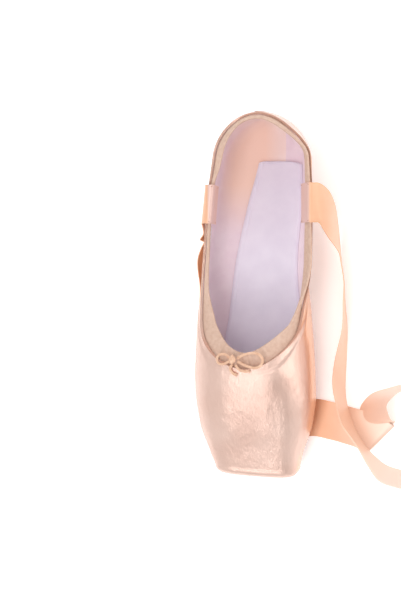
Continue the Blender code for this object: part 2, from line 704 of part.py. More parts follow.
def smooth_route(points, steps):
    """A Catmull-Rom curve through points."""
    ends = [2 * points[0] - points[1]] + points + [2 * points[-1] - points[-2]]
    route = []
    for a, b, c, d in zip(ends, ends[1:], ends[2:], ends[3:]):
        for k in range(steps):
            x = k / steps
            route.append(
                b
                + 0.5 * x * (c - a)
                + x * x * (a - 2.5 * b + 2 * c - 0.5 * d)
                + x**3 * (1.5 * (b - c) + 0.5 * (d - a))
            )
    return route + [points[-1]]


def make_cord(name, rows, finish):
    data = bpy.data.curves.new(name, "CURVE")
    data.dimensions = "3D"
    data.bevel_depth = CORD_THICKNESS / 2
    data.bevel_resolution = 2
    data.use_fill_caps = True
    route = smooth_route([on_vamp(row) for row in rows], CORD_STEPS)
    spline = data.splines.new("POLY")
    spline.points.add(len(route) - 1)
    for point, place in zip(spline.points, route):
        point.co = (*place, 1.0)
    return add_object(name, data, finish)


def make_knot(finish):
    bm = bmesh.new()
    around, along = KNOT_SEGMENTS
    bmesh.ops.create_uvsphere(bm, u_segments=around, v_segments=along, radius=0.5)
    mesh = bpy.data.meshes.new("drawstring_knot")
    bm.to_mesh(mesh)
    bm.free()
    mesh.shade_smooth()
    knot = add_object("drawstring_knot", mesh, finish)
    knot.location = on_vamp(CordPoint(0.0, 0.0, KNOT_LIFT))
    knot.scale = KNOT_SIZE
    return knot


def make_bow(finish):
    make_knot(finish)
    make_cord("drawstring_loop_inner", LOOP_INNER, finish)
    make_cord("drawstring_loop_outer", LOOP_OUTER, finish)
    make_cord("drawstring_end_inner", END_INNER, finish)
    make_cord("drawstring_end_outer", END_OUTER, finish)


def ribbon_row(middle, across, ahead, curl, columns):
    """Points across a ribbon, all above the floor; its front half turns up by curl."""
    across = across.normalized()
    upward = ahead.cross(across).normalized()
    if upward.z < 0:
        upward = -upward
    half = columns // 2
    step = RIBBON_WIDTH / columns
    row = [middle - across * step * (half - k) for k in range(half + 1)]
    for k in range(1, columns - half + 1):
        turn = curl * smooth_step(k / (columns - half))
        row.append(row[-1] + (across * math.cos(turn) + upward * math.sin(turn)) * step)
    sunk = max(RIBBON_THICKNESS / 2 + CLEARANCE - min(point.z for point in row), 0.0)
    return [point + Vector((0.0, 0.0, sunk)) for point in row]


def ribbon_grid(rows, columns):
    """Rows of points over a ribbon's face."""
    ways = [Vector((row.across_x, row.across_y, row.across_z)).normalized() for row in rows]
    turns = [Vector((math.radians(row.curl), 0.0, 0.0)) for row in rows]
    middles = smooth_route([Vector((row.x, row.y, row.z)) for row in rows], RIBBON_STEPS)
    across = smooth_route(ways, RIBBON_STEPS)
    curls = smooth_route(turns, RIBBON_STEPS)
    grid = []
    for i, middle in enumerate(middles):
        ahead = middles[min(i + 1, len(middles) - 1)] - middles[max(i - 1, 0)]
        grid.append(ribbon_row(middle, across[i], ahead, max(curls[i].x, 0.0), columns))
    return grid


def make_ribbon(name, rows, columns, finish):
    bm = bmesh.new()
    verts = [[bm.verts.new(point) for point in row] for row in ribbon_grid(rows, columns)]
    for a, b in zip(verts, verts[1:]):
        for k in range(columns):
            bm.faces.new((a[k], a[k + 1], b[k + 1], b[k]))
    mesh = bpy.data.meshes.new(name)
    bm.to_mesh(mesh)
    bm.free()
    mesh.shade_smooth()
    ribbon = add_object(name, mesh, finish)
    thicken = ribbon.modifiers.new("Solidify", "SOLIDIFY")
    thicken.thickness = RIBBON_THICKNESS
    thicken.offset = 0.0
    return ribbon


for obj in list(bpy.data.objects):
    bpy.data.objects.remove(obj)
SHOE = bpy.data.collections.new("pointe_shoe")
bpy.context.scene.collection.children.link(SHOE)
ROOT = bpy.data.objects.new("shoe", None)
SHOE.objects.link(ROOT)

satin = material("satin", (0.85, 0.55, 0.40), 0.35)
leather = material("sole_leather", (0.52, 0.33, 0.20), 0.65)
sock = material("sock", (0.72, 0.68, 0.80), 0.85)
tape = material("casing_tape", (0.78, 0.58, 0.42), 0.8)
cotton = material("drawstring", (0.85, 0.62, 0.45), 0.75)
ribbon_satin = material("ribbon_satin", (0.85, 0.50, 0.33), 0.3)

make_upper(satin)
make_outsole(leather)
make_insole(sock)
make_binding(tape)
make_bow(cotton)
make_ribbon("ribbon_inner", RIBBON_INNER, RIBBON_INNER_COLUMNS, ribbon_satin)
make_ribbon("ribbon_outer", RIBBON_OUTER, RIBBON_OUTER_COLUMNS, ribbon_satin)
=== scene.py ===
"""Looks of the satin pointe shoe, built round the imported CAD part.

Metres, +Z up, toe along -Y, inner side +X, as in the part. The shoe's form is the same
function of place and angle as the solids', sampled more finely.
"""

import math
import random
from collections import namedtuple
from functools import lru_cache

import bmesh
import bpy
import numpy as np
from mathutils import Matrix, Vector


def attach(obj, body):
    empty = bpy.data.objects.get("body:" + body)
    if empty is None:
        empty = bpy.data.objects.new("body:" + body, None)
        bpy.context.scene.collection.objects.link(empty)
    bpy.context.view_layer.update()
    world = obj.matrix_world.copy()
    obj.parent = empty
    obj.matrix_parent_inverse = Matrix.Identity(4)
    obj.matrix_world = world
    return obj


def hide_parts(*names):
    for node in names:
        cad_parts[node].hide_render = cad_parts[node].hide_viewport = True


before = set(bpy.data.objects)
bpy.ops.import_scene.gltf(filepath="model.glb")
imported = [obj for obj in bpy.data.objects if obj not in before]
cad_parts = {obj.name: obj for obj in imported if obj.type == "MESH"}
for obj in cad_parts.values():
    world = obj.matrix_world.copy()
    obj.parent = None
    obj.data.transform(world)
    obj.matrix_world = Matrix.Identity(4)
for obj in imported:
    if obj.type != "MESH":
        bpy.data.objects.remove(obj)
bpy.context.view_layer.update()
random.seed(7)


def rows_of(kind, *rows):
    """A table's rows, with their columns named."""
    return [kind(*row) for row in rows]



# Driving dimensions
LENGTH = 0.235            # heel back to toe platform
BALL_WIDTH = 0.078        # widest, over the satin
INSTEP_HEIGHT = 0.054     # top of the vamp at the throat, above the floor
HEEL_RADIUS = 0.031       # heel back to the axis that the heel's sections turn about
HEEL_SEAT = 0.030         # heel back to the origin
SWAY = 0.0045             # how far the middle bows out to the little toe side
ARCH_RISE = 0.006         # lift of the waist off the floor
TOE_SPRING = 0.004        # lift of the toe off the floor
THROAT = 0.165            # heel back to the front of the opening
THROAT_ROUND = 0.027      # length of the opening's round front
PLATFORM_LEAN = 0.0015    # how far the platform's top edge stands ahead of its middle
PLATFORM_EDGE = 0.0042    # rounding between vamp and platform
PLATFORM_CROWN = 0.0006   # bulge of the platform's face

# Walls, layers and clearances
CLEARANCE = 0.0003        # between pieces that touch
QUARTER_WALL = 0.0015     # satin and lining
BOX_WALL = 0.0028         # satin, paste layers and lining
WING_STEP = 0.0007        # the box's stiff edge, standing proud of the soft quarters
WING_SLOPE = 0.003        # length over which that step rises
OUTSOLE_THICKNESS = 0.0025
OUTSOLE_TIP = 0.196       # heel back to the outsole's front
OUTSOLE_ROUND = 0.022     # length of its round front
SEAM_MARGIN = 0.006       # upper held between outsole and insole
INSOLE_THICKNESS = 0.0022
INSOLE_TIP = 0.208
INSOLE_ROUND = 0.020
INSOLE_BACK = 0.0025      # from the heel's axis back to the insole's rear end
INSOLE_CORNER = 2.8       # how square that end is, as the power of a superellipse
BINDING_HEIGHT = 0.0085   # drawstring casing, across the tape
BINDING_LAP = 0.0035      # how much of it is behind the upper's edge
BINDING_THICKNESS = 0.0020

# Drawstring, tied in a bow at the throat
KNOT_SIZE = (0.0044, 0.0056, 0.0036)
KNOT_BACK = 0.0060        # from the upper's edge to the knot's middle, towards the heel
KNOT_ACROSS = -0.0055     # it is tied a little towards the little toe

# Ribbons, one sewn inside each side of the collar
RIBBON_WIDTH = 0.025
RIBBON_THICKNESS = 0.0006

# Sections from heel to toe, at shares of LENGTH. width is a share of BALL_WIDTH; widest, top
# and collar are heights, as shares of INSTEP_HEIGHT, and behind the throat top is where the
# section would close; outsole and insole are shares of the section's width; low and high are
# the powers of the superellipses below and above the widest point. waist is how much narrower
# the inner half is, flare how far the inner wall leans out at the collar and shift how far the
# insole is glued in towards the inner side, all as shares of BALL_WIDTH.
Section = namedtuple(
    "Section", "at width widest top collar outsole insole low high waist flare shift"
)
SECTIONS = rows_of(
    Section,
    (0.00, 0.750, 0.34, 1.42, 0.90, 0.74, 0.50, 3.4, 2.5, 0.060, 0.050, 0.095),
    (0.12, 0.780, 0.36, 1.36, 0.85, 0.68, 0.53, 3.4, 2.4, 0.000, 0.105, 0.095),
    (0.25, 0.860, 0.38, 1.24, 0.76, 0.52, 0.62, 3.0, 2.3, 0.020, 0.115, 0.084),
    (0.40, 0.890, 0.40, 1.13, 0.70, 0.40, 0.67, 2.8, 2.3, 0.030, 0.120, 0.060),
    (0.55, 0.940, 0.42, 1.06, 0.74, 0.54, 0.72, 3.2, 2.2, 0.010, 0.050, 0.036),
    (0.70, 0.990, 0.43, 1.00, 0.86, 0.66, 0.80, 3.6, 2.2, 0.000, 0.000, 0.020),
    (0.77, 1.000, 0.42, 0.92, 0.90, 0.68, 0.79, 3.8, 2.3, 0.000, 0.000, 0.012),
    (0.86, 0.945, 0.40, 0.79, 0.90, 0.62, 0.66, 4.0, 2.6, 0.010, 0.000, 0.000),
    (0.94, 0.805, 0.37, 0.65, 0.90, 0.50, 0.50, 4.0, 3.0, 0.025, 0.000, 0.000),
    (1.00, 0.680, 0.33, 0.55, 0.90, 0.40, 0.40, 4.0, 3.4, 0.010, 0.000, 0.000),
)

# The box's edge: how far along LENGTH it runs at each angle of the section.
WingEdge = namedtuple("WingEdge", "at share")
WING_EDGE = rows_of(
    WingEdge,
    (0, 0.400),
    (60, 0.430),
    (90, 0.490),
    (112, 0.570),
    (130, 0.640),
    (150, 0.690),
    (180, 0.720),
)

WING_FADE = (40, 60)      # degrees; the step runs out beside the outsole

# The casing along LENGTH, on each side: how far it stands above the upper's edge, as a share
# of BINDING_HEIGHT, and how many degrees that part leans in over the opening.
CasingRow = namedtuple("CasingRow", "at inner outer inner_lean outer_lean")
CASING = rows_of(
    CasingRow,
    (0.00, 0.62, 0.62, 4, 4),
    (0.04, 0.62, 0.68, 4, 28),
    (0.11, 0.59, 0.73, 0, 35),
    (0.15, 0.59, 0.72, 0, 28),
    (0.21, 0.59, 0.62, 0, 0),
    (0.31, 0.59, 0.59, 0, 0),
    (0.42, 0.65, 0.60, 0, 10),
    (0.49, 0.76, 0.74, 0, 12),
    (0.53, 0.86, 0.92, 0, 20),
    (0.58, 0.96, 1.08, 3, 31),
    (0.64, 1.08, 1.18, 4, 25),
    (0.68, 1.18, 1.18, 0, 8),
    (0.71, 1.18, 1.18, 0, 0),
)

# The bow's cords, from the knot's middle: across towards the inner side, back towards the
# heel, and up off the vamp's form. They lie on the casing and a little over the satin.
CordPoint = namedtuple("CordPoint", "across back lift")
LOOP_INNER = rows_of(
    CordPoint,
    (0.0027, 0.0008, 0.0002),
    (0.0065, 0.0030, 0.0008),
    (0.0115, 0.0046, 0.0013),
    (0.0160, 0.0040, 0.0015),
    (0.0185, 0.0006, 0.0015),
    (0.0172, -0.0032, 0.0014),
    (0.0135, -0.0048, 0.0012),
    (0.0080, -0.0036, 0.0008),
    (0.0027, -0.0012, 0.0002),
)
LOOP_OUTER = rows_of(
    CordPoint,
    (-0.0027, 0.0008, 0.0002),
    (-0.0054, 0.0028, 0.0007),
    (-0.0088, 0.0024, 0.0012),
    (-0.0106, -0.0004, 0.0014),
    (-0.0096, -0.0030, 0.0014),
    (-0.0064, -0.0034, 0.0010),
    (-0.0027, -0.0014, 0.0002),
)
END_INNER = rows_of(
    CordPoint,
    (0.0013, -0.0034, 0.0003),
    (0.0034, -0.0060, 0.0011),
    (0.0068, -0.0072, 0.0013),
    (0.0102, -0.0070, 0.0013),
)
END_OUTER = rows_of(
    CordPoint,
    (-0.0009, -0.0034, 0.0003),
    (-0.0019, -0.0060, 0.0012),
    (-0.0006, -0.0086, 0.0014),
    (0.0018, -0.0098, 0.0014),
)

# The ribbons' routes: the ribbon's middle, the direction across it from its rear edge to its
# front edge, and how far the front half curls up, in degrees. Each starts inside the collar,
# goes over its edge and comes down to the floor.
RibbonRow = namedtuple("RibbonRow", "x y z across_x across_y across_z curl")
RIBBON_INNER = rows_of(
    RibbonRow,
    (0.0272, -0.0290, 0.0366, 0, -20, -3, 0),
    (0.0288, -0.0290, 0.0391, 0, -20, -3, 0),
    (0.0306, -0.0290, 0.0420, 0, -20, -3, 0),
    (0.0330, -0.0290, 0.0460, 0, -20, -3, 0),
    (0.0350, -0.0290, 0.0471, 0, -20, -3, 0),
    (0.0373, -0.0290, 0.0463, 0, -20, -3, 0),
    (0.0404, -0.0292, 0.0445, 0, -22, -2, 0),
    (0.0438, -0.0330, 0.0400, -2, -24, 5, 0),
    (0.0465, -0.0395, 0.0335, -1, -21, 11, 0),
    (0.0480, -0.0470, 0.0245, 2, -16, 17, 0),
    (0.0490, -0.0565, 0.0164, 4, -7, 23, 0),
    (0.0500, -0.0665, 0.0133, 4, -1, 24, 0),
    (0.0520, -0.0780, 0.0129, 4, 0, 24, 0),
    (0.0525, -0.0905, 0.0129, 3, 1, 24, 0),
    (0.0535, -0.1085, 0.0129, 1, 1, 24, 0),
    (0.0515, -0.1300, 0.0129, -3, 2, 24, 0),
    (0.0510, -0.1460, 0.0133, -4, 4, 24, 0),
    (0.0535, -0.1585, 0.0146, -3, 3, 24, 0),
    (0.0575, -0.1700, 0.0151, -3, 2, 24, 0),
    (0.0630, -0.1785, 0.0153, -2, 3, 24, 0),
    (0.0690, -0.1865, 0.0152, -2, 3, 24, 0),
    (0.0745, -0.1940, 0.0142, -1, -2, 24, 0),
    (0.0815, -0.2010, 0.0130, -1, -6, 24, 0),
    (0.0920, -0.2040, 0.0125, 0, -7, 24, 0),
    (0.1080, -0.2055, 0.0124, 0, -7, 24, 0),
    (0.1280, -0.2020, 0.0120, 3, -9, 23, 0),
    (0.1440, -0.1900, 0.0108, 8, -12, 20, 0),
    (0.1540, -0.1710, 0.0080, 16, -10, 14, 0),
    (0.1580, -0.1480, 0.0043, 22, -5, 6, 0),
    (0.1585, -0.1230, 0.0016, 24, -1, 1, 0),
    (0.1560, -0.0970, 0.0008, 24, 1, 0, 0),
    (0.1540, -0.0710, 0.0008, 24, 2, 0, 0),
)
RIBBON_OUTER = rows_of(
    RibbonRow,
    (-0.0300, -0.0310, 0.0330, -2, -20, -3, 0),
    (-0.0298, -0.0310, 0.0390, -2, -20, -3, 0),
    (-0.0290, -0.0310, 0.0432, -2, -20, -3, 0),
    (-0.0296, -0.0310, 0.0462, -2, -20, -3, 0),
    (-0.0318, -0.0310, 0.0469, -2, -20, -3, 0),
    (-0.0342, -0.0310, 0.0456, -2, -20, -3, 0),
    (-0.0362, -0.0310, 0.0424, -2, -20, -2, 0),
    (-0.0376, -0.0315, 0.0370, -2, -20, -1, 0),
    (-0.0390, -0.0335, 0.0300, -1, -20, 3, 0),
    (-0.0402, -0.0380, 0.0225, 0, -16, 8, 0),
    (-0.0412, -0.0455, 0.0155, 0, -10, 14, 15),
    (-0.0420, -0.0560, 0.0118, -4, -4, 12, 20),
    (-0.0412, -0.0690, 0.0062, -12, -1, 6, 55),
    (-0.0410, -0.0830, 0.0016, -20, 0, 1, 90),
    (-0.0418, -0.1000, 0.0008, -20, 0, 0, 100),
    (-0.0424, -0.1200, 0.0008, -20, 0, 0, 100),
    (-0.0434, -0.1400, 0.0008, -20, 0, 0, 100),
    (-0.0422, -0.1530, 0.0008, -20, -3, 0, 98),
    (-0.0378, -0.1650, 0.0008, -18, -9, 0, 85),
    (-0.0295, -0.1735, 0.0008, -12, -16, 0, 40),
    (-0.0180, -0.1790, 0.0008, -5, -20, 0, 8),
    (0.0000, -0.1808, 0.0008, 0, -20, 0, 0),
    (0.0170, -0.1762, 0.0008, 1, -20, 0, 0),
    (0.0310, -0.1698, 0.0008, -1, -20, 0, 0),
    (0.0445, -0.1710, 0.0009, -1, -20, 0, 0),
    (0.0545, -0.1730, 0.0013, -1, -20, 0, 0),
    (0.0625, -0.1748, 0.0018, -2, -20, 0, 0),
    (0.0705, -0.1775, 0.0021, -8, -19, 0, 0),
    (0.0765, -0.1803, 0.0022, -14, -17, 0, 0),
    (0.0781, -0.1809, 0.0014, -15, -16, 0, 0),
    (0.0765, -0.1790, 0.0006, -16, -15, 0, 0),
    (0.0752, -0.1725, 0.0012, -18, -6, -1, 0),
    (0.0742, -0.1655, 0.0052, -18, 2, -8, 0),
    (0.0745, -0.1575, 0.0094, -17, 1, -17, 0),
    (0.0790, -0.1515, 0.0112, -14, 1, -20, 0),
    (0.0870, -0.1470, 0.0123, -9, 0, -23, 0),
    (0.0970, -0.1435, 0.0128, -4, 2, -24, 0),
    (0.1085, -0.1360, 0.0128, 3, 4, -24, 0),
    (0.1180, -0.1220, 0.0122, 8, 2, -23, 0),
    (0.1225, -0.1020, 0.0112, 13, 1, -21, 0),
    (0.1235, -0.0780, 0.0080, 20, 0, -14, 0),
    (0.1225, -0.0520, 0.0028, 24, 0, -4, 0),
    (0.1215, -0.0260, 0.0008, 25, 0, 0, 0),
)

ARCH_SPAN = (0.21, 0.60)  # the sole leaves the floor and meets it again, shares of LENGTH
TOE_LIFT_FROM = 0.78      # and leaves it for good
BOX_WALL_SPAN = (0.50, 0.72)

ARC_SAMPLES = 160         # for cutting a section into equal lengths
NORMAL_STEP = 0.0004      # between the points that give a normal, along the shoe
NORMAL_TURN = 0.02        # and round its section, in radians
NORMAL_REST = 0.03        # a normal is taken this far or more from the section's top

# A section's place: distance from the heel back, turn about the heel (0 on the inner side),
# turn over the platform's edge, and how far the platform's face has closed in.
Place = namedtuple("Place", "along turn edge shrink")

# Looks: sizes of what only this script makes, in metres unless they are counts or shares
SATIN_DEPTH = 0.0009      # satin and its glued backing; the lining fills the rest of the wall
LINING_GAP = 0.00005
SATIN_COLUMNS = 54        # round half of the shoe's section
LINING_COLUMNS = 30
FINE_FACE = 8             # stations over the platform's face, its edge, the sides and the heel
FINE_EDGE = 10
FINE_SIDES = (30, 10, 4, 22, 70)
FINE_HEEL = 44
HEEL_TAPE_WIDTH = 0.0068  # strip over the seam up the heel
HEEL_TAPE_DEPTH = 0.00035
SEAM_FOOT = 52            # degrees round the section, where that strip goes under the sole
SEAM_ROWS = 40
SEAM_LIFT = 0.001
HEEL_TAPE_CORNERS = 20
TAB_ROUTE_ROWS = 5        # of a ribbon's table, that its tab takes up
TAB_COLUMNS = 8
TAB_INSET = 0.0011        # of a stitch from the ribbon's edge
TAB_LIFT = 0.6            # share of the ribbon's thickness
TAB_SLANT = 0.33
TAB_STITCH = (0.0016, 0.00025)  # length and radius
TAB_STITCH_ROWS = (2, 20) # rows of a tab's grid, by its hidden end and below the collar's top
LABEL_SPAN = (0.0745, 0.0870)  # along the shoe, from the heel back
LABEL_ANGLES = (92, 112)
LABEL_GRID = (12, 8)
LABEL_LIFT = 0.00035
LABEL_PUFF = 0.0006
LABEL_THICKNESS = 0.0002
COLLAR_FOLD = 0.05        # radians round the section; the satin is folded over the wall's top
FOLD_START = 1.6          # how many such folds below the edge the satin starts to thicken
CREASE_STEPS = 12
PLEAT_COUNT = 17          # pleats of satin gathered under the toe
PLEAT_DEPTH = 0.00045
PLEAT_POWER = 0.6         # below 1, narrow furrows between round pleats
PLEAT_HUB = 0.012         # where the pleats meet, behind the outsole's tip
PLEAT_STARTS = (0.010, 0.016)  # the pleats fade in between these distances from there
PLEAT_ENDS = (0.046, 0.026)    # and out between these
PLEAT_TOPS = (0.013, 0.007)    # heights
PLEAT_BACKS = (-0.004, 0.002)  # distances ahead of the hub
SOLE_COLUMNS = 14         # from a sole piece's edge to its middle, closest at the edge
SOLE_CROWD = 1.6
SOLE_TIP_ROWS = 14
SOLE_ROWS = 80
SOLE_HEEL_ROWS = 36
SKIVED_EDGE = (0.0007, 0.0012)  # depth and width of the outsole's rounded edge
SOCK_EDGE = (0.0008, 0.0014)
SOCK_LINE = (0.0005, 0.0030, 0.0006)  # depth, distance from the edge, and width
CASING_SAMPLES = (90, 180, 120)  # of the edge: round front, sides, heel
CASING_STATIONS = 460
CASING_CORNERS = 28
CASING_POWERS = (0.5, 0.7)  # how square the tape's section is, across and through it
CASING_PUFF = (0.00022, 0.0030, 0.0013)  # depth, distance below the top, and width
CASING_FREE = (0.0004, 0.0015)  # the gathers start above the edge, and grow over this height
HELD_DEPTH = 0.0006       # up to here the tape lies flat against the wall
HELD_HEIGHT = 0.0008
STITCH_PITCH = 0.0027     # along the casing
STITCH_LEVEL = 0.0006     # above the edge
STITCH_SINK = 0.00005
CASING_STITCH = (0.0013, 0.00022)  # length and radius
STITCH_SHAPE = ((-0.38, 0.6), (-0.2, 0.9), (0.0, 1.0), (0.2, 0.9), (0.38, 0.6))
STITCH_CORNERS = 6
GATHER_REACH = (0.022, 0.048)  # of the casing's gathers from the bow, inner and outer side
GATHER_REST = 0.10        # and how strong they are beyond it
GATHER_DEPTH = 0.00022
GATHER_WAVES = ((1.0, 1450, 0.0), (0.6, 2310, 1.3), (0.4, 3777, 0.0))  # size, rate, start
CORD_WIDTH = 0.0017
CORD_HALF_DEPTH = 0.0005
CORD_CORNERS = 16
CORD_WAIST = (0.35, 0.28)  # depth and width of the furrow between the cord's two strands
BOW_STEPS = 8             # between two rows of a cord's table
VAMP_STEP = 0.001         # between the points that give the vamp's normal
KNOT_ROWS = 18
KNOT_CORNERS = 28
KNOT_BAND = 0.34          # half width of the band over the knot, as a share of the knot's
KNOT_GROOVE = (0.42, 0.10)  # where the grooves beside it are, and their width
KNOT_STRANDS = 18
KNOT_SWELL = (0.10, 0.12, 0.05)  # of the band, of the grooves, and of strands and lumps
FRAY_HALF = 3             # threads on each side of the middle one
FRAY_WIDTH = 0.4
FRAY_ROOT = 0.0003
FRAY_SPLAY = 0.35
FRAY_LIFT = (-0.1, 0.15)
FRAY_LENGTH = (0.0008, 0.0016)
FRAY_RADIUS = 0.00014
RIBBON_COLUMNS = 20
RIBBON_STEPS = 6          # between two rows of a ribbon's table
SELVEDGE = 0.0009         # ribbon's woven edge
EDGE_SHARE = 0.95         # of RIBBON_THICKNESS, at that edge and between the edges
CLOTH_SHARE = 0.55
MERGED = 2e-6             # points closer than this are joined
KNOT_MERGED = 5e-6
RIBBON_MERGED = 1e-7
NO_LENGTH = 1e-7
SHARP_FROM = 50           # degrees between two faces that meet in a sharp edge

# Where colours change: from the first place on the axis, where the change starts, to the second
SOFT = (0.35, 0.65)       # contrast of soft patches
PAINTED_BOUNCE_SPAN = (0.92, 1.0)        # share of the satin's normal that points sideways, where painted orange bounce light starts and is full
HEEL_PANEL = (("X", (-0.034, -0.012)), ("X", (0.0086, 0.0080)), ("Y", (-0.030, -0.006)))
WARM_CORNER = (("Z", (0.017, 0.007)), ("Y", (-0.050, -0.015)), ("X", (0.004, -0.006)))
# Painted shade and orange bounce light on the ribbons: full up to the first X place, gone from the
# second
RIBBON_SHADE_FADE = (0.040, 0.085)
# Painted mauve shade on the ribbons' ends inside the collar
SEWN_TAB_SHADE = (("X", (0.0350, 0.0338)), ("X", (-0.0325, -0.0314)), ("Z", (0.028, 0.032)))

# Creases pressed into the satin, each between two places given by the distance from the heel
# back, the degrees round the section and the side; depth is inwards, in metres.
Crease = namedtuple("Crease", "side start start_at end end_at width depth")
CREASES = rows_of(
    Crease,
    ("outer", 0.205, 118, 0.224, 106, 0.0016, 0.00028),
    ("outer", 0.198, 114, 0.221, 100, 0.0018, -0.00020),
    ("outer", 0.192, 108, 0.214, 96, 0.0016, 0.00024),
    ("outer", 0.213, 126, 0.229, 116, 0.0014, 0.00022),
    ("outer", 0.186, 100, 0.206, 90, 0.0016, 0.00018),
    ("inner", 0.207, 112, 0.226, 104, 0.0016, 0.00020),
    ("inner", 0.196, 104, 0.216, 96, 0.0016, 0.00018),
    ("inner", 0.176, 150, 0.214, 158, 0.0050, 0.00030),
    ("outer", 0.178, 160, 0.220, 166, 0.0060, -0.00025),
    ("inner", 0.075, 70, 0.110, 96, 0.0030, 0.00050),
    ("inner", 0.088, 62, 0.126, 84, 0.0026, 0.00045),
    ("outer", 0.070, 72, 0.104, 94, 0.0030, 0.00050),
    ("outer", 0.086, 60, 0.120, 80, 0.0026, 0.00045),
    ("inner", 0.040, 66, 0.064, 84, 0.0024, 0.00030),
    ("outer", 0.040, 66, 0.062, 82, 0.0024, 0.00030),
)

# A dark strip of sky from toe to heel, over the inner side, draws the satin's dark band: the
# normal of its plane, how far from that plane the sky starts and ends to brighten, and the
# sky's strength there.
CARD_NORMAL = (0.879, 0.003, -0.476)
CARD_FADE = (0.05, 0.22, 0.00, 0.84)
CARD_LOW = (0.40, 0.60)   # heights in the sky between which the strip's two ends fade out
SKY_COLOUR = (1.0, 0.985, 0.98, 1.0)
FLOOR_GLOW = 0.30         # the white floor shines a little by itself
FLOOR_HALF = 3.0
FLOOR_LEVEL = -0.0002

# Soft boxes, all turned towards one point: a key from above the toe, a fill from the inner
# side and a weak light from the heel
LIT = (0.0, -0.10, 0.03)
Light = namedtuple("Light", "name position size power colour")
LIGHTS = rows_of(
    Light,
    ("key", (-0.06, -0.38, 0.92), (0.26, 1.2), 3.1, (1.0, 0.98, 0.97)),
    ("fill", (0.85, -0.25, 0.50), (0.30, 1.0), 1.7, (1.0, 0.96, 0.93)),
    ("back", (0.1, 0.8, 0.8), (0.8, 0.4), 1.2, (1.0, 0.98, 0.98)),
)

# The camera: the direction from what it looks at, its distance, and its roll
LOOK_AT = (0.0, -0.0875, 0.02)
LOOK_FROM = (0.26, 0.0173, 1.0)
LOOK_DISTANCE = 0.7
LOOK_ROLL = 0.0317
FOCAL_PIXELS = 1062.3032
CENTRE_PIXELS = (263.789, 293.5211)
PHOTO_SIZE = (401, 601)
SENSOR = 36.0


def smooth_step(x):
    x = min(max(x, 0.0), 1.0)
    return x * x * (3 - 2 * x)


def round_end(distance, length):
    """Share of the full width at a distance from a round end."""
    x = min(max(distance / length, 0.0), 1.0)
    return math.sqrt(1 - (1 - x) ** 2)


def read_table(rows, column, at):
    """Monotone cubic through one column of a table whose first column is at."""
    rows = sorted(rows)
    at = min(max(at, rows[0].at), rows[-1].at)
    spans = list(zip(rows, rows[1:]))
    slopes = [(getattr(b, column) - getattr(a, column)) / (b.at - a.at) for a, b in spans]
    i = next(k for k, (_, b) in enumerate(spans) if at <= b.at)

    def tangent(k):
        if k == 0 or k == len(spans):
            return slopes[min(k, len(spans) - 1)]
        before, after = slopes[k - 1], slopes[k]
        return 2 * before * after / (before + after) if before * after > 0 else 0.0

    a, b = spans[i]
    step = b.at - a.at
    x = (at - a.at) / step
    low, high = getattr(a, column), getattr(b, column)
    return (
        low * (1 + 2 * x) * (1 - x) ** 2
        + high * x * x * (3 - 2 * x)
        + step * x * (1 - x) * (tangent(i) * (1 - x) - tangent(i + 1) * x)
    )


@lru_cache(maxsize=None)
def shape(column, at):
    return read_table(SECTIONS, column, at)


def share_along(place):
    """A place's share of LENGTH; the heel's turned sections use what is behind its axis."""
    if place.turn in (0.0, math.pi):
        return place.along / LENGTH
    return HEEL_RADIUS * (1 - math.sin(place.turn)) / LENGTH


def floor_gap(at):
    """Height of the outsole's underside."""
    first, last = ARCH_SPAN
    x = min(max((at - first) / (last - first), 0.0), 1.0)
    spring = max(at - TOE_LIFT_FROM, 0.0) / (1 - TOE_LIFT_FROM)
    return ARCH_RISE * math.sin(math.pi * x) ** 2 + TOE_SPRING * spring**2


def sway(along):
    at = along / LENGTH
    return -4 * SWAY * at * (1 - at)


def settle(x, along, z):
    """Bows a point's plan and gives it in the part's frame."""
    return Vector((x + sway(along), HEEL_SEAT - along, z))


def section_sizes(place, depth):
    """Half width, underside, widest height and top of the section, depth inside the satin."""
    at = share_along(place)
    inset = PLATFORM_EDGE - (PLATFORM_EDGE - depth) * math.cos(place.edge)
    inner = max(math.cos(place.turn), 0.0)
    half = (shape("width", at) / 2 - inner * shape("waist", at)) * BALL_WIDTH - inset
    under = floor_gap(at) + OUTSOLE_THICKNESS + CLEARANCE + inset
    middle = shape("widest", at) * INSTEP_HEIGHT
    top = shape("top", at) * INSTEP_HEIGHT - inset
    return half, under, middle, top


def last_point(place, angle, depth=0.0):
    """A point of the shoe's form, depth inside the satin."""
    at = share_along(place)
    half, under, middle, top = section_sizes(place, depth)
    far = top if angle > math.pi / 2 else under
    power = shape("high" if angle > math.pi / 2 else "low", at)
    reach = math.sin(angle) ** (2 / power) if 0 < angle < math.pi else 0.0
    rise = abs(math.cos(angle)) ** (2 / power)
    z = middle + (far - middle) * rise * place.shrink
    across = half * reach * place.shrink
    if angle > math.pi / 2:
        lean = (z - middle) / (shape("collar", at) * INSTEP_HEIGHT - middle)
        flare = shape("flare", at) * smooth_step((THROAT - place.along) / THROAT_ROUND)
        across += max(math.cos(place.turn), 0.0) * flare * BALL_WIDTH * lean**2
    along = place.along + (PLATFORM_EDGE - depth) * math.sin(place.edge)
    along += PLATFORM_CROWN * (1 - place.shrink**2)
    along += PLATFORM_LEAN * smooth_step((at - 0.9) / 0.1) * (z - middle) / (top - middle)
    back = reach * (HEEL_RADIUS - depth) * math.sin(place.turn)
    return settle(across * math.cos(place.turn), along - back, z)


def wall_at(place):
    first, last = BOX_WALL_SPAN
    x = (share_along(place) - first) / (last - first)
    return QUARTER_WALL + (BOX_WALL - QUARTER_WALL) * smooth_step(x)


def satin_point(place, angle):
    """The upper's outside: the form, with the box's edge standing proud."""
    degrees = math.degrees(angle)
    edge = read_table(WING_EDGE, "share", degrees)
    ahead = smooth_step((share_along(place) - edge) * LENGTH / WING_SLOPE)
    first, last = WING_FADE
    shown = smooth_step((degrees - first) / (last - first))
    shown += (1 - shown) * math.sin(place.edge)
    return last_point(place, angle, -WING_STEP * ahead * shown)


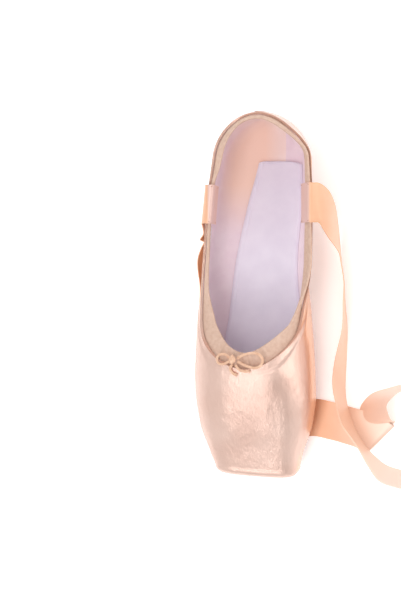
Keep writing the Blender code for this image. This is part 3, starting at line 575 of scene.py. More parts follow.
def collar_angle(place):
    """Where the upper's top edge crosses a section."""
    if place.along >= THROAT:
        return math.pi
    at = share_along(place)
    half, _, middle, top = section_sizes(place, 0.0)
    power = shape("high", at)
    height = (shape("collar", at) * INSTEP_HEIGHT - middle) / (top - middle)
    reach = (1 - height**power) ** (1 / power) * round_end(THROAT - place.along, THROAT_ROUND)
    return math.pi - math.asin(reach ** (power / 2))


def insole_share(place):
    """The insole's edge as a share of the section's width; its rear end is a rounded square."""
    side = place._replace(turn=0.0 if math.cos(place.turn) > 0 else math.pi)
    at = share_along(side)
    shift = shape("shift", at) * BALL_WIDTH / section_sizes(side, 0.0)[0]
    share = shape("insole", at) + shift * math.cos(side.turn)
    if place.turn in (0.0, math.pi):
        return share
    back = INSOLE_BACK / HEEL_RADIUS
    sideways = (abs(math.cos(place.turn)) / share) ** INSOLE_CORNER
    backwards = (math.sin(place.turn) / back) ** INSOLE_CORNER
    return (sideways + backwards) ** (-1 / INSOLE_CORNER)


def under_share(place, column):
    """Share of the section's width that the outsole, the insole or the opening covers."""
    at = share_along(place)
    if column == "insole":
        return insole_share(place) * round_end(INSOLE_TIP - place.along, INSOLE_ROUND)
    if column == "outsole":
        return shape("outsole", at) * round_end(OUTSOLE_TIP - place.along, OUTSOLE_ROUND)
    margin = SEAM_MARGIN / section_sizes(place, 0.0)[0]
    covered = max(min(insole_share(place), shape("outsole", at)) - margin, 0.0)
    return covered * round_end(OUTSOLE_TIP - SEAM_MARGIN - place.along, OUTSOLE_ROUND)


def feather_angle(place):
    """Where the upper's lower edge crosses a section, under the outsole's rim."""
    share = under_share(place, "opening")
    return math.asin(share ** (shape("low", share_along(place)) / 2))


def spread(start, end, count):
    return [start + (end - start) * k / count for k in range(count)]


def rounding(tip, length, count):
    """Stations from a round end backwards, closest together at the end."""
    return [tip - length * (1 - math.cos(math.pi / 2 * k / count)) for k in range(count)]


def all_places(toe, sides, heel_count):
    """Inner side from toe to heel, round the heel, and back along the outer side."""
    inner = toe + [Place(along, 0.0, 0.0, 1.0) for along in sides]
    heel = [
        Place(HEEL_RADIUS, math.pi * k / heel_count, 0.0, 1.0) for k in range(heel_count + 1)
    ]
    outer = [place._replace(turn=math.pi) for place in reversed(inner)]
    return inner + heel + outer


def even_angles(place, start, end, count):
    """Angles that cut a section's arc into equal lengths."""
    fine = ARC_SAMPLES
    angles = [start + (end - start) * k / fine for k in range(fine + 1)]
    open_place = place._replace(shrink=max(place.shrink, 0.1))
    points = [last_point(open_place, angle) for angle in angles]
    lengths = [0.0]
    for a, b in zip(points, points[1:]):
        lengths.append(lengths[-1] + (b - a).length)
    found = []
    k = 0
    for i in range(count + 1):
        goal = lengths[-1] * i / count
        while k < fine - 1 and lengths[k + 1] < goal:
            k += 1
        x = (goal - lengths[k]) / (lengths[k + 1] - lengths[k])
        found.append(angles[k] + (angles[k + 1] - angles[k]) * min(max(x, 0.0), 1.0))
    return found


def under_point(place, share, depth):
    """A point under or inside the foot, on the form's underside at a share of its width."""
    angle = math.asin(min(share, 1.0) ** (shape("low", share_along(place)) / 2))
    return last_point(place, angle, depth)


def collar_point(place, depth=0.0):
    return last_point(place, collar_angle(place), depth)


def collar_normal(place):
    """The form's outward normal at the upper's top edge."""
    step = NORMAL_STEP
    angle = min(collar_angle(place), math.pi - NORMAL_REST)
    if place.turn in (0.0, math.pi):
        ends = [place._replace(along=place.along + k) for k in (-step, step)]
    else:
        ends = [place._replace(turn=place.turn + k / HEEL_RADIUS) for k in (-step, step)]
    along = last_point(ends[1], angle) - last_point(ends[0], angle)
    around = last_point(place, angle + NORMAL_TURN) - last_point(place, angle - NORMAL_TURN)
    normal = along.cross(around).normalized()
    outward = last_point(place, angle, -step) - last_point(place, angle)
    if collar_angle(place) == math.pi:
        normal.x = 0.0
    return normal if normal.dot(outward) > 0 else -normal


def casing_shape(place):
    """How far the casing stands above the upper's edge there, and how far it leans in."""
    at = share_along(place)
    inner = (1 + math.cos(place.turn)) / 2
    above = read_table(CASING, "inner", at) * inner + read_table(CASING, "outer", at) * (1 - inner)
    lean = read_table(CASING, "inner_lean", at) * inner
    lean += read_table(CASING, "outer_lean", at) * (1 - inner)
    return above * BINDING_HEIGHT, math.radians(lean)


def leaning(above, outwards, back, lean):
    """A point of the casing's section, turned in about its back where it meets the edge."""
    if above <= 0:
        return above, outwards
    thick = outwards - back
    return (
        above * math.cos(lean) + thick * math.sin(lean),
        back + thick * math.cos(lean) - above * math.sin(lean),
    )


def on_vamp(row):
    """A bow point, measured from the knot, laid over the vamp's form."""
    across = KNOT_ACROSS + row.across
    place = Place(THROAT - KNOT_BACK - row.back, 0.0 if across >= 0 else math.pi, 0.0, 1.0)
    half = section_sizes(place, 0.0)[0]
    power = shape("high", share_along(place))
    angle = math.pi - math.asin((abs(across) / half) ** (power / 2))
    return last_point(place, angle, -row.lift)


def smooth_route(points, steps):
    """A Catmull-Rom curve through points."""
    ends = [2 * points[0] - points[1]] + points + [2 * points[-1] - points[-2]]
    route = []
    for a, b, c, d in zip(ends, ends[1:], ends[2:], ends[3:]):
        for k in range(steps):
            x = k / steps
            route.append(
                b
                + 0.5 * x * (c - a)
                + x * x * (a - 2.5 * b + 2 * c - 0.5 * d)
                + x**3 * (1.5 * (b - c) + 0.5 * (d - a))
            )
    return route + [points[-1]]


def ribbon_row(middle, across, ahead, curl, columns):
    """Points across a ribbon, all above the floor; its front half turns up by curl."""
    across = across.normalized()
    upward = ahead.cross(across).normalized()
    if upward.z < 0:
        upward = -upward
    half = columns // 2
    step = RIBBON_WIDTH / columns
    row = [middle - across * step * (half - k) for k in range(half + 1)]
    for k in range(1, columns - half + 1):
        turn = curl * smooth_step(k / (columns - half))
        row.append(row[-1] + (across * math.cos(turn) + upward * math.sin(turn)) * step)
    sunk = max(RIBBON_THICKNESS / 2 + CLEARANCE - min(point.z for point in row), 0.0)
    return [point + Vector((0.0, 0.0, sunk)) for point in row]


def ribbon_grid(rows, columns, steps):
    """Rows of points over a ribbon's face."""
    ways = [Vector((row.across_x, row.across_y, row.across_z)).normalized() for row in rows]
    turns = [Vector((math.radians(row.curl), 0.0, 0.0)) for row in rows]
    middles = smooth_route([Vector((row.x, row.y, row.z)) for row in rows], steps)
    across = smooth_route(ways, steps)
    curls = smooth_route(turns, steps)
    grid = []
    for i, middle in enumerate(middles):
        ahead = middles[min(i + 1, len(middles) - 1)] - middles[max(i - 1, 0)]
        grid.append(ribbon_row(middle, across[i], ahead, max(curls[i].x, 0.0), columns))
    return grid


# Materials
def linear(red, green, blue):
    """Screen colour, 0 to 255, as Blender's linear one."""

    def channel(value):
        value /= 255
        return value / 12.92 if value <= 0.04045 else ((value + 0.055) / 1.055) ** 2.4

    return (channel(red), channel(green), channel(blue), 1.0)


class Nodes:
    """A node tree, with short calls for what is used here."""

    def __init__(self, owner):
        owner.use_nodes = True
        self.tree = owner.node_tree

    def add(self, kind, **settings):
        node = self.tree.nodes.new(kind)
        for name, value in settings.items():
            setattr(node, name, value)
        return node

    def feed(self, source, node, socket):
        """Links a source to a socket, or sets the socket to a constant."""
        if hasattr(source, "is_output"):
            self.tree.links.new(source, node.inputs[socket])
        else:
            node.inputs[socket].default_value = source

    def fill(self, node, **sources):
        """Feeds sockets by name; an underscore stands for a space in the name."""
        for name, source in sources.items():
            self.feed(source, node, name.replace("_", " "))
        return node

    def ramp(self, source, low, high, start=0.0, end=1.0, **settings):
        node = self.add("ShaderNodeMapRange", **settings)
        self.fill(node, Value=source, From_Min=low, From_Max=high, To_Min=start, To_Max=end)
        return node.outputs["Result"]

    def math(self, operation, *sources):
        node = self.add("ShaderNodeMath", operation=operation)
        for i, source in enumerate(sources):
            self.feed(source, node, i)
        return node.outputs[0]

    def times(self, product, *others):
        for other in others:
            product = self.math("MULTIPLY", product, other)
        return product


class Shader(Nodes):
    """A material with one principled surface."""

    def __init__(self, name, roughness, **sockets):
        self.made = bpy.data.materials.new(name)
        super().__init__(self.made)
        self.main = self.tree.nodes["Principled BSDF"]
        self.fill(self.main, Roughness=roughness, **sockets)
        self.place = self.add("ShaderNodeTexCoord").outputs["Object"]

    def texture(self, kind, scale, mapped, value, **settings):
        """A texture node in object coordinates that are first stretched or turned."""
        mapping = self.fill(self.add("ShaderNodeMapping"), Vector=self.place, **{mapped: value})
        node = self.add(kind, **settings)
        return self.fill(node, Vector=mapping.outputs["Vector"], Scale=scale)

    def noise(self, scale, detail, stretch=(1.0, 1.0, 1.0)):
        node = self.texture("ShaderNodeTexNoise", scale, "Scale", stretch)
        return self.fill(node, Detail=detail).outputs["Fac"]

    def wave(self, scale, direction, turn=(0.0, 0.0, 0.0), distortion=0.0):
        kind = "ShaderNodeTexWave"
        node = self.texture(kind, scale, "Rotation", turn, bands_direction=direction)
        return self.fill(node, Distortion=distortion).outputs["Fac"]

    def mix(self, share, a, b):
        node = self.add("ShaderNodeMix", data_type="RGBA")
        for socket, source in ((0, share), (6, a), (7, b)):
            self.feed(source, node, socket)
        return node.outputs[2]

    def clouds(self, scale, detail, contrast, light, dark):
        """Two colours in soft patches."""
        return self.mix(self.ramp(self.noise(scale, detail), *contrast), light, dark)

    def axis(self, name, of="Object"):
        node = self.add("ShaderNodeSeparateXYZ")
        self.feed(self.place.node.outputs[of], node, 0)
        return node.outputs[name]

    def along(self, name, span):
        """0 at the span's first place on an axis, 1 at its second."""
        return self.ramp(self.axis(name), *span)

    def colour(self, source):
        self.feed(source, self.main, "Base Color")

    def bump(self, source, depth, strength):
        """Adds relief on top of what is there already."""
        node = self.fill(self.add("ShaderNodeBump"), Distance=depth, Strength=strength, Height=source)
        if self.main.inputs["Normal"].is_linked:
            self.feed(self.main.inputs["Normal"].links[0].from_socket, node, "Normal")
        self.feed(node.outputs["Normal"], self.main, "Normal")


def satin_finish():
    """Pale peach satin: a soft gloss over a fine grain, with painted orange bounce light where the
    sides turn down.
    """
    shader = Shader(
        "satin", 0.27, Metallic=0.52, Sheen_Weight=0.1, Sheen_Roughness=0.4,
        Sheen_Tint=linear(255, 214, 184), Specular_IOR_Level=0.8, Coat_Weight=0.25,
        Coat_Roughness=0.30, Anisotropic=0.4,
    )
    base = shader.clouds(38.0, 3.0, SOFT, linear(231, 199, 185), linear(221, 186, 171))
    # Painted orange bounce light on the steep sides, by how far the normal points sideways
    painted_bounce = shader.ramp(shader.math("ABSOLUTE", shader.axis("X", "Normal")), *PAINTED_BOUNCE_SPAN)
    shader.colour(shader.mix(painted_bounce, base, linear(246, 200, 166)))
    shader.bump(shader.wave(900.0, "X", turn=(0.0, 0.0, 0.12), distortion=1.5), 0.00004, 0.5)
    shader.bump(shader.noise(420.0, 4.0, (1.0, 0.4, 1.0)), 0.0003, 0.9)
    shader.bump(shader.noise(110.0, 4.0, (1.0, 0.4, 1.0)), 0.0014, 0.4)
    return shader.made


def lining_finish():
    """Mauve cotton drill, peach in a panel behind the heel and warm down beside the sock."""
    shader = Shader("lining", 0.85, Sheen_Weight=0.2, Sheen_Tint=linear(255, 220, 220))
    panel = shader.times(*(shader.along(name, span) for name, span in HEEL_PANEL))
    warm = shader.times(*(shader.along(name, span) for name, span in WARM_CORNER))
    cloud = shader.ramp(shader.noise(90.0, 3.0), *SOFT)
    mauve = shader.mix(cloud, linear(243, 226, 234), linear(238, 218, 228))
    peach = shader.mix(cloud, linear(252, 232, 226), linear(249, 226, 219))
    shader.colour(shader.mix(warm, shader.mix(panel, mauve, peach), linear(253, 220, 203)))
    shader.bump(shader.wave(620.0, "DIAGONAL"), 0.00008, 0.5)
    shader.bump(shader.noise(500.0, 3.0), 0.00008, 0.5)
    return shader.made


def tape_finish(name, light, dark):
    """Cotton tape in a fine twill, mottled."""
    shader = Shader(name, 0.8, Sheen_Weight=0.3, Sheen_Tint=linear(255, 226, 200))
    shader.colour(shader.clouds(420.0, 4.0, (0.30, 0.70), light, dark))
    shader.bump(shader.wave(760.0, "DIAGONAL", turn=(0.3, 0.2, 0.5)), 0.00012, 0.7)
    shader.bump(shader.noise(420.0, 4.0), 0.00018, 0.6)
    return shader.made


def sock_finish():
    """Lavender-white cotton sock."""
    shader = Shader("sock", 0.9, Sheen_Weight=0.25)
    pale, deep = linear(240, 234, 248), linear(233, 226, 242)
    shader.colour(shader.clouds(70.0, 4.0, (0.30, 0.70), pale, deep))
    shader.bump(shader.times(shader.wave(560.0, "X"), shader.wave(560.0, "Y")), 0.00010, 0.6)
    shader.bump(shader.noise(45.0, 3.0), 0.0006, 0.3)
    return shader.made


def leather_finish():
    """Matt split leather, scuffed in patches."""
    shader = Shader("sole_leather", 0.62, Specular_IOR_Level=0.35)
    tan = shader.clouds(130.0, 6.0, (0.32, 0.68), linear(176, 134, 98), linear(152, 112, 80))
    scuff = shader.ramp(shader.noise(34.0, 5.0, (1.0, 0.5, 1.0)), 0.5, 0.72)
    shader.colour(shader.mix(scuff, tan, linear(190, 152, 118)))
    shader.bump(shader.noise(700.0, 5.0), 0.00015, 0.6)
    shader.bump(shader.noise(60.0, 3.0), 0.0004, 0.3)
    return shader.made


def ribbon_finish():
    """Satin ribbon, with painted shade and orange bounce light near the shoe, paler away from it, and
    painted mauve shade where it is sewn in inside the collar.
    """
    shader = Shader(
        "ribbon_satin", 0.34, Metallic=0.15, Sheen_Weight=0.35, Sheen_Roughness=0.4,
        Sheen_Tint=linear(255, 214, 180), Specular_IOR_Level=0.6,
    )
    # The deeper orange near the shoe is painted shade and bounce light; it fades to pale peach away
    # from it
    near = shader.clouds(55.0, 3.0, SOFT, linear(242, 188, 152), linear(236, 178, 140))
    peach = shader.mix(shader.along("X", RIBBON_SHADE_FADE), near, linear(247, 222, 208))
    # Painted mauve shade where the ribbon's end lies inside the collar
    sewn = shader.times(*(shader.along(name, span) for name, span in SEWN_TAB_SHADE))
    shader.colour(shader.mix(sewn, peach, linear(232, 196, 186)))
    shader.bump(shader.noise(900.0, 3.0, (0.2, 1.0, 1.0)), 0.00003, 0.5)
    shader.bump(shader.noise(120.0, 2.0), 0.0002, 0.3)
    return shader.made


def plain_finish(name, light, dark, roughness, scale):
    """Thread or woven label."""
    shader = Shader(name, roughness, Sheen_Weight=0.2)
    shader.colour(shader.clouds(scale, 3.0, SOFT, light, dark))
    shader.bump(shader.noise(scale * 3, 3.0), 0.0001, 0.5)
    return shader.made


# Mesh helpers
def add_piece(name, points, faces, finish, replaced=()):
    mesh = bpy.data.meshes.new(name)
    mesh.from_pydata([tuple(point) for point in points], [], faces)
    mesh.materials.append(finish)
    mesh.validate()
    mesh.shade_smooth()
    piece = bpy.data.objects.new(name, mesh)
    bpy.context.scene.collection.objects.link(piece)
    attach(piece, "root")
    if replaced:
        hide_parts(*replaced)
    return piece


def merge_close(piece, within):
    """Joins points that fall together, and turns every face outwards."""
    bm = bmesh.new()
    bm.from_mesh(piece.data)
    bmesh.ops.remove_doubles(bm, verts=bm.verts, dist=within)
    bmesh.ops.dissolve_degenerate(bm, edges=bm.edges, dist=NO_LENGTH)
    bmesh.ops.recalc_face_normals(bm, faces=bm.faces)
    bm.to_mesh(piece.data)
    bm.free()
    piece.data.shade_smooth()
    piece.data.set_sharp_from_angle(angle=math.radians(SHARP_FROM))


def even_turns(count):
    return [2 * math.pi * k / count for k in range(count)]


def ring_faces(rings, count, closed=False, left_out=None):
    """Faces that join each ring of count points to the next, and a closed row's ends."""
    faces = []
    for i in range(rings if closed else rings - 1):
        for j in range(count):
            if left_out and left_out(i, j):
                continue
            k = (j + 1) % count
            n = (i + 1) % rings
            faces.append((i * count + j, i * count + k, n * count + k, n * count + j))
    return faces


def tipped_faces(rings, count, first=0):
    """Faces of rings that two tips close; first is the number of the first ring's first point."""
    faces = ring_faces(rings, count)
    last, tip = (rings - 1) * count, rings * count
    for j in range(count):
        k = (j + 1) % count
        faces += [(tip, k, j), (tip + 1, last + j, last + k)]
    return [tuple(first + corner for corner in face) for face in faces]


def add_rings(name, rings, finish, slot_name, replaced, more=(), within=MERGED, **which):
    """A piece made of rings of points; more are faces beyond those between the rings."""
    points = [point for ring in rings for point in ring]
    faces = ring_faces(len(rings), len(rings[0]), **which) + list(more)
    piece = add_piece(name, points, faces, finish, replaced)
    merge_close(piece, within)
    return piece


def tube_rings(route, section, normals):
    """Rings of a section carried along a route; section rows are (sideways, outwards)."""
    rings = []
    for i, point in enumerate(route):
        ahead = (route[min(i + 1, len(route) - 1)] - route[max(i - 1, 0)]).normalized()
        outwards = (normals[i] - ahead * normals[i].dot(ahead)).normalized()
        sideways = ahead.cross(outwards)
        rings.append([point + sideways * a + outwards * b for a, b in section])
    return rings


def add_tube(name, rings, finish, replaced=()):
    count = len(rings[0])
    points = [point for ring in rings for point in ring]
    points += [sum(rings[0], Vector()) / count, sum(rings[-1], Vector()) / count]
    faces = tipped_faces(len(rings), count)
    return add_piece(name, points, faces, finish, replaced)


def add_stitch(points, faces, centre, along, outwards, length, radius):
    """Adds a spindle of thread: rings and two tips that dip into the cloth."""
    side = along.cross(outwards).normalized()
    first = len(points)
    for share, size in STITCH_SHAPE:
        for turn in even_turns(STITCH_CORNERS):
            round_it = side * math.cos(turn) + outwards * math.sin(turn)
            points.append(centre + along * share * length + round_it * radius * size)
    for way in (-1, 1):
        points.append(centre + along * length / 2 * way - outwards * radius * 0.5)
    faces += tipped_faces(len(STITCH_SHAPE), STITCH_CORNERS, first)


# Upper
def fine_places():
    """Stations much closer than the solids'."""
    neck = LENGTH - PLATFORM_EDGE
    face = [Place(neck, 0.0, math.pi / 2, share) for share in spread(0, 1, FINE_FACE)]
    edge = [Place(neck, 0.0, turn, 1.0) for turn in spread(math.pi / 2, 0, FINE_EDGE)]
    opening_tip = OUTSOLE_TIP - SEAM_MARGIN
    toe, opening, box, throat, quarters = FINE_SIDES
    sides = (
        spread(neck, opening_tip, toe)
        + rounding(opening_tip, OUTSOLE_ROUND, opening)
        + spread(opening_tip - OUTSOLE_ROUND, THROAT, box)
        + rounding(THROAT, THROAT_ROUND, throat)
        + spread(THROAT - THROAT_ROUND, HEEL_RADIUS, quarters)
    )
    return all_places(face + edge, sides, FINE_HEEL)


def crease_line(row):
    """Points along a crease, on the satin's outside."""
    turn = 0.0 if row.side == "inner" else math.pi
    line = []
    for share in spread(0, 1, CREASE_STEPS) + [1]:
        along = row.start + (row.end - row.start) * share
        angle = math.radians(row.start_at + (row.end_at - row.start_at) * share)
        line.append(tuple(satin_point(Place(along, turn, 0.0, 1.0), angle)))
    return np.array(line)


def fade(values, start, end):
    """0 up to start and 1 from end on, whichever way round they are."""
    return np.clip((values - start) / (end - start), 0, 1)


def press_creases(piece):
    """Presses the creases into the satin and gathers its pleats under the toe."""
    mesh = piece.data
    points = np.empty(len(mesh.vertices) * 3)
    mesh.vertices.foreach_get("co", points)
    points = points.reshape(-1, 3)
    normals = np.array([vertex.normal for vertex in mesh.vertices])
    depth = np.zeros(len(points))
    for row in CREASES:
        line = crease_line(row)
        reach = np.linalg.norm(line[-1] - line[0]) / 2 + 3 * row.width
        near = np.where(np.linalg.norm(points - line.mean(axis=0), axis=1) < reach)[0]
        gaps = np.linalg.norm(points[near, None, :] - line[None, :, :], axis=2)
        taper = np.sin(np.pi * (gaps.argmin(axis=1) + 0.5) / len(line))
        depth[near] += row.depth * taper * np.exp(-((gaps.min(axis=1) / row.width) ** 2))
    ahead = HEEL_SEAT - (OUTSOLE_TIP - PLEAT_HUB) - points[:, 1]
    away = np.hypot(points[:, 0], ahead)
    ridge = np.abs(np.sin(np.arctan2(points[:, 0], ahead) * PLEAT_COUNT)) ** PLEAT_POWER
    shown = fade(away, *PLEAT_STARTS) * fade(away, *PLEAT_ENDS)
    shown *= fade(points[:, 2], *PLEAT_TOPS) * fade(ahead, *PLEAT_BACKS)
    points -= normals * (depth + PLEAT_DEPTH * ridge * shown)[:, None]
    mesh.vertices.foreach_set("co", points.reshape(-1))
    mesh.update()


def satin_back(place, angle):
    """The satin's inside; at the collar the satin is folded over the whole wall's top."""
    high = collar_angle(place)
    folded = smooth_step((angle - high) / COLLAR_FOLD + FOLD_START) if high < math.pi else 0.0
    return last_point(place, angle, SATIN_DEPTH + (wall_at(place) - SATIN_DEPTH) * folded)


def lining_front(place, angle):
    return last_point(place, angle, SATIN_DEPTH + LINING_GAP)


def lining_back(place, angle):
    return last_point(place, angle, wall_at(place))


def wall_piece(name, outside, inside, count, finish, lowered=0.0):
    """A layer of the upper's wall, open at the collar and underneath."""
    rings = []
    open_spans = []
    for place in fine_places():
        low, high = feather_angle(place), collar_angle(place)
        if high < math.pi:
            high -= lowered
        angles = even_angles(place, low, high, count)
        front = [outside(place, angle) for angle in angles]
        rings.append(front + [inside(place, angle) for angle in reversed(angles)])
        open_spans.append({count: high < math.pi, 2 * count + 1: low > 0})

    def closed_span(i, j):
        return j in open_spans[i] and not (open_spans[i][j] or open_spans[i + 1][j])

    return add_rings(name, rings, finish, "satin", ("upper",), left_out=closed_span)


# Sole pieces
def make_sole_piece(name, node, finish, slot_name, top, bottom, tip, length):
    """A layer under the foot; top and bottom take a place, a share and how far from the edge."""
    stations = rounding(tip, length, SOLE_TIP_ROWS) + spread(tip - length, HEEL_RADIUS, SOLE_ROWS)
    rings = []
    for place in all_places([], stations, SOLE_HEEL_ROWS):
        edge = under_share(place, node)
        half = section_sizes(place, 0.0)[0]
        shares = [edge * (1 - (k / SOLE_COLUMNS) ** SOLE_CROWD) for k in range(SOLE_COLUMNS + 1)]
        upper = [top(place, share, (edge - share) * half) for share in shares]
        lower = [bottom(place, share, (edge - share) * half) for share in reversed(shares)]
        rings.append(upper + lower)
    return add_rings(
        name, rings, finish, slot_name, (node,), left_out=lambda i, j: j == SOLE_COLUMNS
    )


def worn_down(edge, from_edge):
    """How much a rounded edge, given as (depth, width), takes off."""
    depth, width = edge
    return depth * max(1 - from_edge / width, 0.0) ** 2


def outsole_top(place, share, from_edge):
    return under_point(place, share, -CLEARANCE)


def outsole_bottom(place, share, from_edge):
    point = under_point(place, share, 0.0)
    point.z = floor_gap(share_along(place)) + worn_down(SKIVED_EDGE, from_edge)
    return point


def sock_top(place, share, from_edge):
    """The sock, with a line pressed in beside its edge."""
    depth, at, width = SOCK_LINE
    pressed = depth * math.exp(-(((from_edge - at) / width) ** 2))
    rise = INSOLE_THICKNESS - worn_down(SOCK_EDGE, from_edge) - pressed
    return under_point(place, share, wall_at(place) + CLEARANCE + rise)


def sock_bottom(place, share, from_edge):
    return under_point(place, share, wall_at(place) + CLEARANCE)


# Casing
def casing_edge():
    """The upper's inner top edge as an even loop of (point, upward, outward, shape, distance)."""
    round_front, sides, heel = CASING_SAMPLES
    fine = rounding(THROAT, THROAT_ROUND, round_front)
    fine += spread(THROAT - THROAT_ROUND, HEEL_RADIUS, sides)
    places = all_places([], fine, heel)[:-1]
    edge = [collar_point(place, wall_at(place)) for place in places]
    normals = [collar_normal(place) for place in places]
    lengths = [0.0]
    for i, point in enumerate(edge):
        lengths.append(lengths[-1] + (edge[(i + 1) % len(edge)] - point).length)
    points, outward, shapes, travelled = [], [], [], []
    k = 0
    for goal in spread(0, lengths[-1], CASING_STATIONS):
        while lengths[k + 1] < goal:
            k += 1
        x = (goal - lengths[k]) / (lengths[k + 1] - lengths[k])
        n = (k + 1) % len(edge)
        points.append(edge[k].lerp(edge[n], x))
        outward.append(normals[k].lerp(normals[n], x).normalized())
        ends = zip(casing_shape(places[k]), casing_shape(places[n]))
        shapes.append([a + (b - a) * x for a, b in ends])
        travelled.append(goal)
    forward = [points[(i + 1) % len(points)] - points[i - 1] for i in range(len(points))]
    upward = [out.cross(way).normalized() for out, way in zip(outward, forward)]
    return list(zip(points, upward, outward, shapes, travelled)), lengths[-1]


def gather(distance, total):
    """Ripple of the gathered casing, strongest beside the bow; distance starts at the throat."""
    inner, outer = GATHER_REACH
    strength = GATHER_REST + math.exp(-((distance / inner) ** 2))
    strength += math.exp(-(((total - distance) / outer) ** 2))
    return strength * sum(size * math.sin(distance * rate + at) for size, rate, at in GATHER_WAVES)


def squared(value, power):
    """A sine or cosine that gives a rounder or squarer section."""
    return math.copysign(abs(value) ** power, value)


def make_casing(tape):
    """The casing: a puffed tape, with the drawstring inside it and gathers near the bow."""
    edge, total = casing_edge()
    face = -CLEARANCE
    back = face - BINDING_THICKNESS
    centre = (face + back) / 2
    puff_depth, puff_at, puff_width = CASING_PUFF
    rings = []
    for point, upward, outward, (high, lean), travelled in edge:
        ripple = GATHER_DEPTH * gather(travelled, total)
        middle, half_height = (high - BINDING_LAP) / 2, (high + BINDING_LAP) / 2
        ring = []
        for turn in even_turns(CASING_CORNERS):
            b = middle + half_height * squared(math.sin(turn), CASING_POWERS[0])
            n = centre + BINDING_THICKNESS / 2 * squared(math.cos(turn), CASING_POWERS[1])
            puff = puff_depth * math.exp(-(((b - high + puff_at) / puff_width) ** 2))
            shown = smooth_step((b - CASING_FREE[0]) / CASING_FREE[1])
            if n > face - HELD_DEPTH and b < HELD_HEIGHT:
                shown = puff = 0.0
            n += puff * (1 if n > centre else -1) + ripple * shown
            b += ripple / 2 * max(math.sin(turn), 0.0)
            b, n = leaning(b, n, back, lean)
            ring.append(point + upward * b + outward * n)
        rings.append(ring)
    add_rings("casing", rings, tape, "casing_tape", ("binding",), closed=True)


def make_casing_stitches(thread):
    """A row of short stitches along the casing's inner face."""
    edge, total = casing_edge()
    back = -CLEARANCE - BINDING_THICKNESS
    points, faces = [], []
    for i in range(0, len(edge) - 1, round(STITCH_PITCH / (total / len(edge)))):
        point, upward, outward, (_, lean), _ = edge[i]
        forward = (edge[(i + 1) % len(edge)][0] - edge[i - 1][0]).normalized()
        b, n = leaning(STITCH_LEVEL, back - STITCH_SINK, back, lean)
        centre = point + upward * b + outward * n
        add_stitch(points, faces, centre, forward, outward, *CASING_STITCH)
    add_piece("casing_stitches", points, faces, thread)


# Heel tape, tab stitches and label
def make_heel_tape(satin):
    """The narrow satin strip that covers the seam up the back of the heel."""
    place = Place(HEEL_RADIUS, math.pi / 2, 0.0, 1.0)
    low, high = math.radians(SEAM_FOOT), collar_angle(place) - COLLAR_FOLD
    angles = spread(low, high, SEAM_ROWS) + [high]
    points = [last_point(place, angle, -CLEARANCE / 3) for angle in angles]
    lifted = [last_point(place, angle, -CLEARANCE / 3 - SEAM_LIFT) for angle in angles]
    normals = [(b - a).normalized() for a, b in zip(points, lifted)]
    section = [
        (HEEL_TAPE_WIDTH / 2 * math.cos(turn), HEEL_TAPE_DEPTH * math.sin(turn))
        for turn in even_turns(HEEL_TAPE_CORNERS)
    ]
    add_tube("heel_tape", tube_rings(points, section, normals), satin)


def make_tab_stitches(thread):
    """The hand stitches that hold each ribbon, at the corners of its tab."""
    points, faces = [], []
    middle = TAB_COLUMNS // 2
    for rows in (RIBBON_INNER, RIBBON_OUTER):
        grid = ribbon_grid(rows[:TAB_ROUTE_ROWS], TAB_COLUMNS, RIBBON_STEPS)
        for i in TAB_STITCH_ROWS:
            row = grid[i]
            ahead = (grid[i + 1][middle] - row[middle]).normalized()
            for corner in (row[0], row[-1]):
                outwards = ahead.cross(row[-1] - row[0]).normalized()
                if outwards.x * corner.x > 0:
                    outwards = -outwards
                inwards = (row[middle] - corner).normalized()
                centre = corner + inwards * TAB_INSET + outwards * RIBBON_THICKNESS * TAB_LIFT
                along = (ahead + inwards * TAB_SLANT).normalized()
                add_stitch(points, faces, centre, along, outwards, *TAB_STITCH)
    add_piece("tab_stitches", points, faces, thread)


def make_label(finish):
    """The bare woven label sewn to the lining's outer side, near the arch."""
    first, last = LABEL_SPAN
    low, high = (math.radians(angle) for angle in LABEL_ANGLES)
    rows, columns = LABEL_GRID
    points = []
    for i in range(rows + 1):
        place = Place(first + (last - first) * i / rows, math.pi, 0.0, 1.0)
        for k in range(columns + 1):
            puff = LABEL_PUFF * math.sin(math.pi * k / columns) * math.sin(math.pi * i / rows)
            depth = wall_at(place) + LABEL_LIFT + puff
            points.append(last_point(place, low + (high - low) * k / columns, depth))
    faces = ring_faces(rows + 1, columns + 1, left_out=lambda i, j: j == columns)
    piece = add_piece("bare_label", points, faces, finish)
    thicken = piece.modifiers.new("Solidify", "SOLIDIFY")
    thicken.thickness = LABEL_THICKNESS
    thicken.offset = 0.0


# Bow
def cord_section():
    """Two strands side by side: a flattened figure of eight."""
    section = []
    for turn in even_turns(CORD_CORNERS):
        waist = 1 - CORD_WAIST[0] * math.exp(-((math.cos(turn) / CORD_WAIST[1]) ** 2))
        section.append((CORD_WIDTH / 2 * math.cos(turn), CORD_HALF_DEPTH * math.sin(turn) * waist))
    return section


def vamp_normal(row):
    return (on_vamp(row._replace(lift=row.lift + VAMP_STEP)) - on_vamp(row)).normalized()


def make_bow_cord(name, rows, finish, node):
    """A loop or end of the bow."""
    route = smooth_route([on_vamp(row) for row in rows], BOW_STEPS)
    normals = smooth_route([vamp_normal(row) for row in rows], BOW_STEPS)
    rings = tube_rings(route, cord_section(), normals)
    piece = add_tube(name, rings, finish, (node,))
    return route, normals


def make_frayed(name, route, normals, finish):
    """Loose threads at a cord's cut end."""
    points, faces = [], []
    ahead = (route[-1] - route[-3]).normalized()
    outwards = normals[-1]
    side = ahead.cross(outwards).normalized()
    for k in range(-FRAY_HALF, FRAY_HALF + 1):
        across = side * k / FRAY_HALF
        root = route[-1] + across * CORD_WIDTH * FRAY_WIDTH - ahead * FRAY_ROOT
        way = ahead + across * FRAY_SPLAY + outwards * random.uniform(*FRAY_LIFT)
        way.normalize()
        length = random.uniform(*FRAY_LENGTH)
        add_stitch(points, faces, root + way * length / 2, way, outwards, length, FRAY_RADIUS)
    add_piece(name, points, faces, finish)


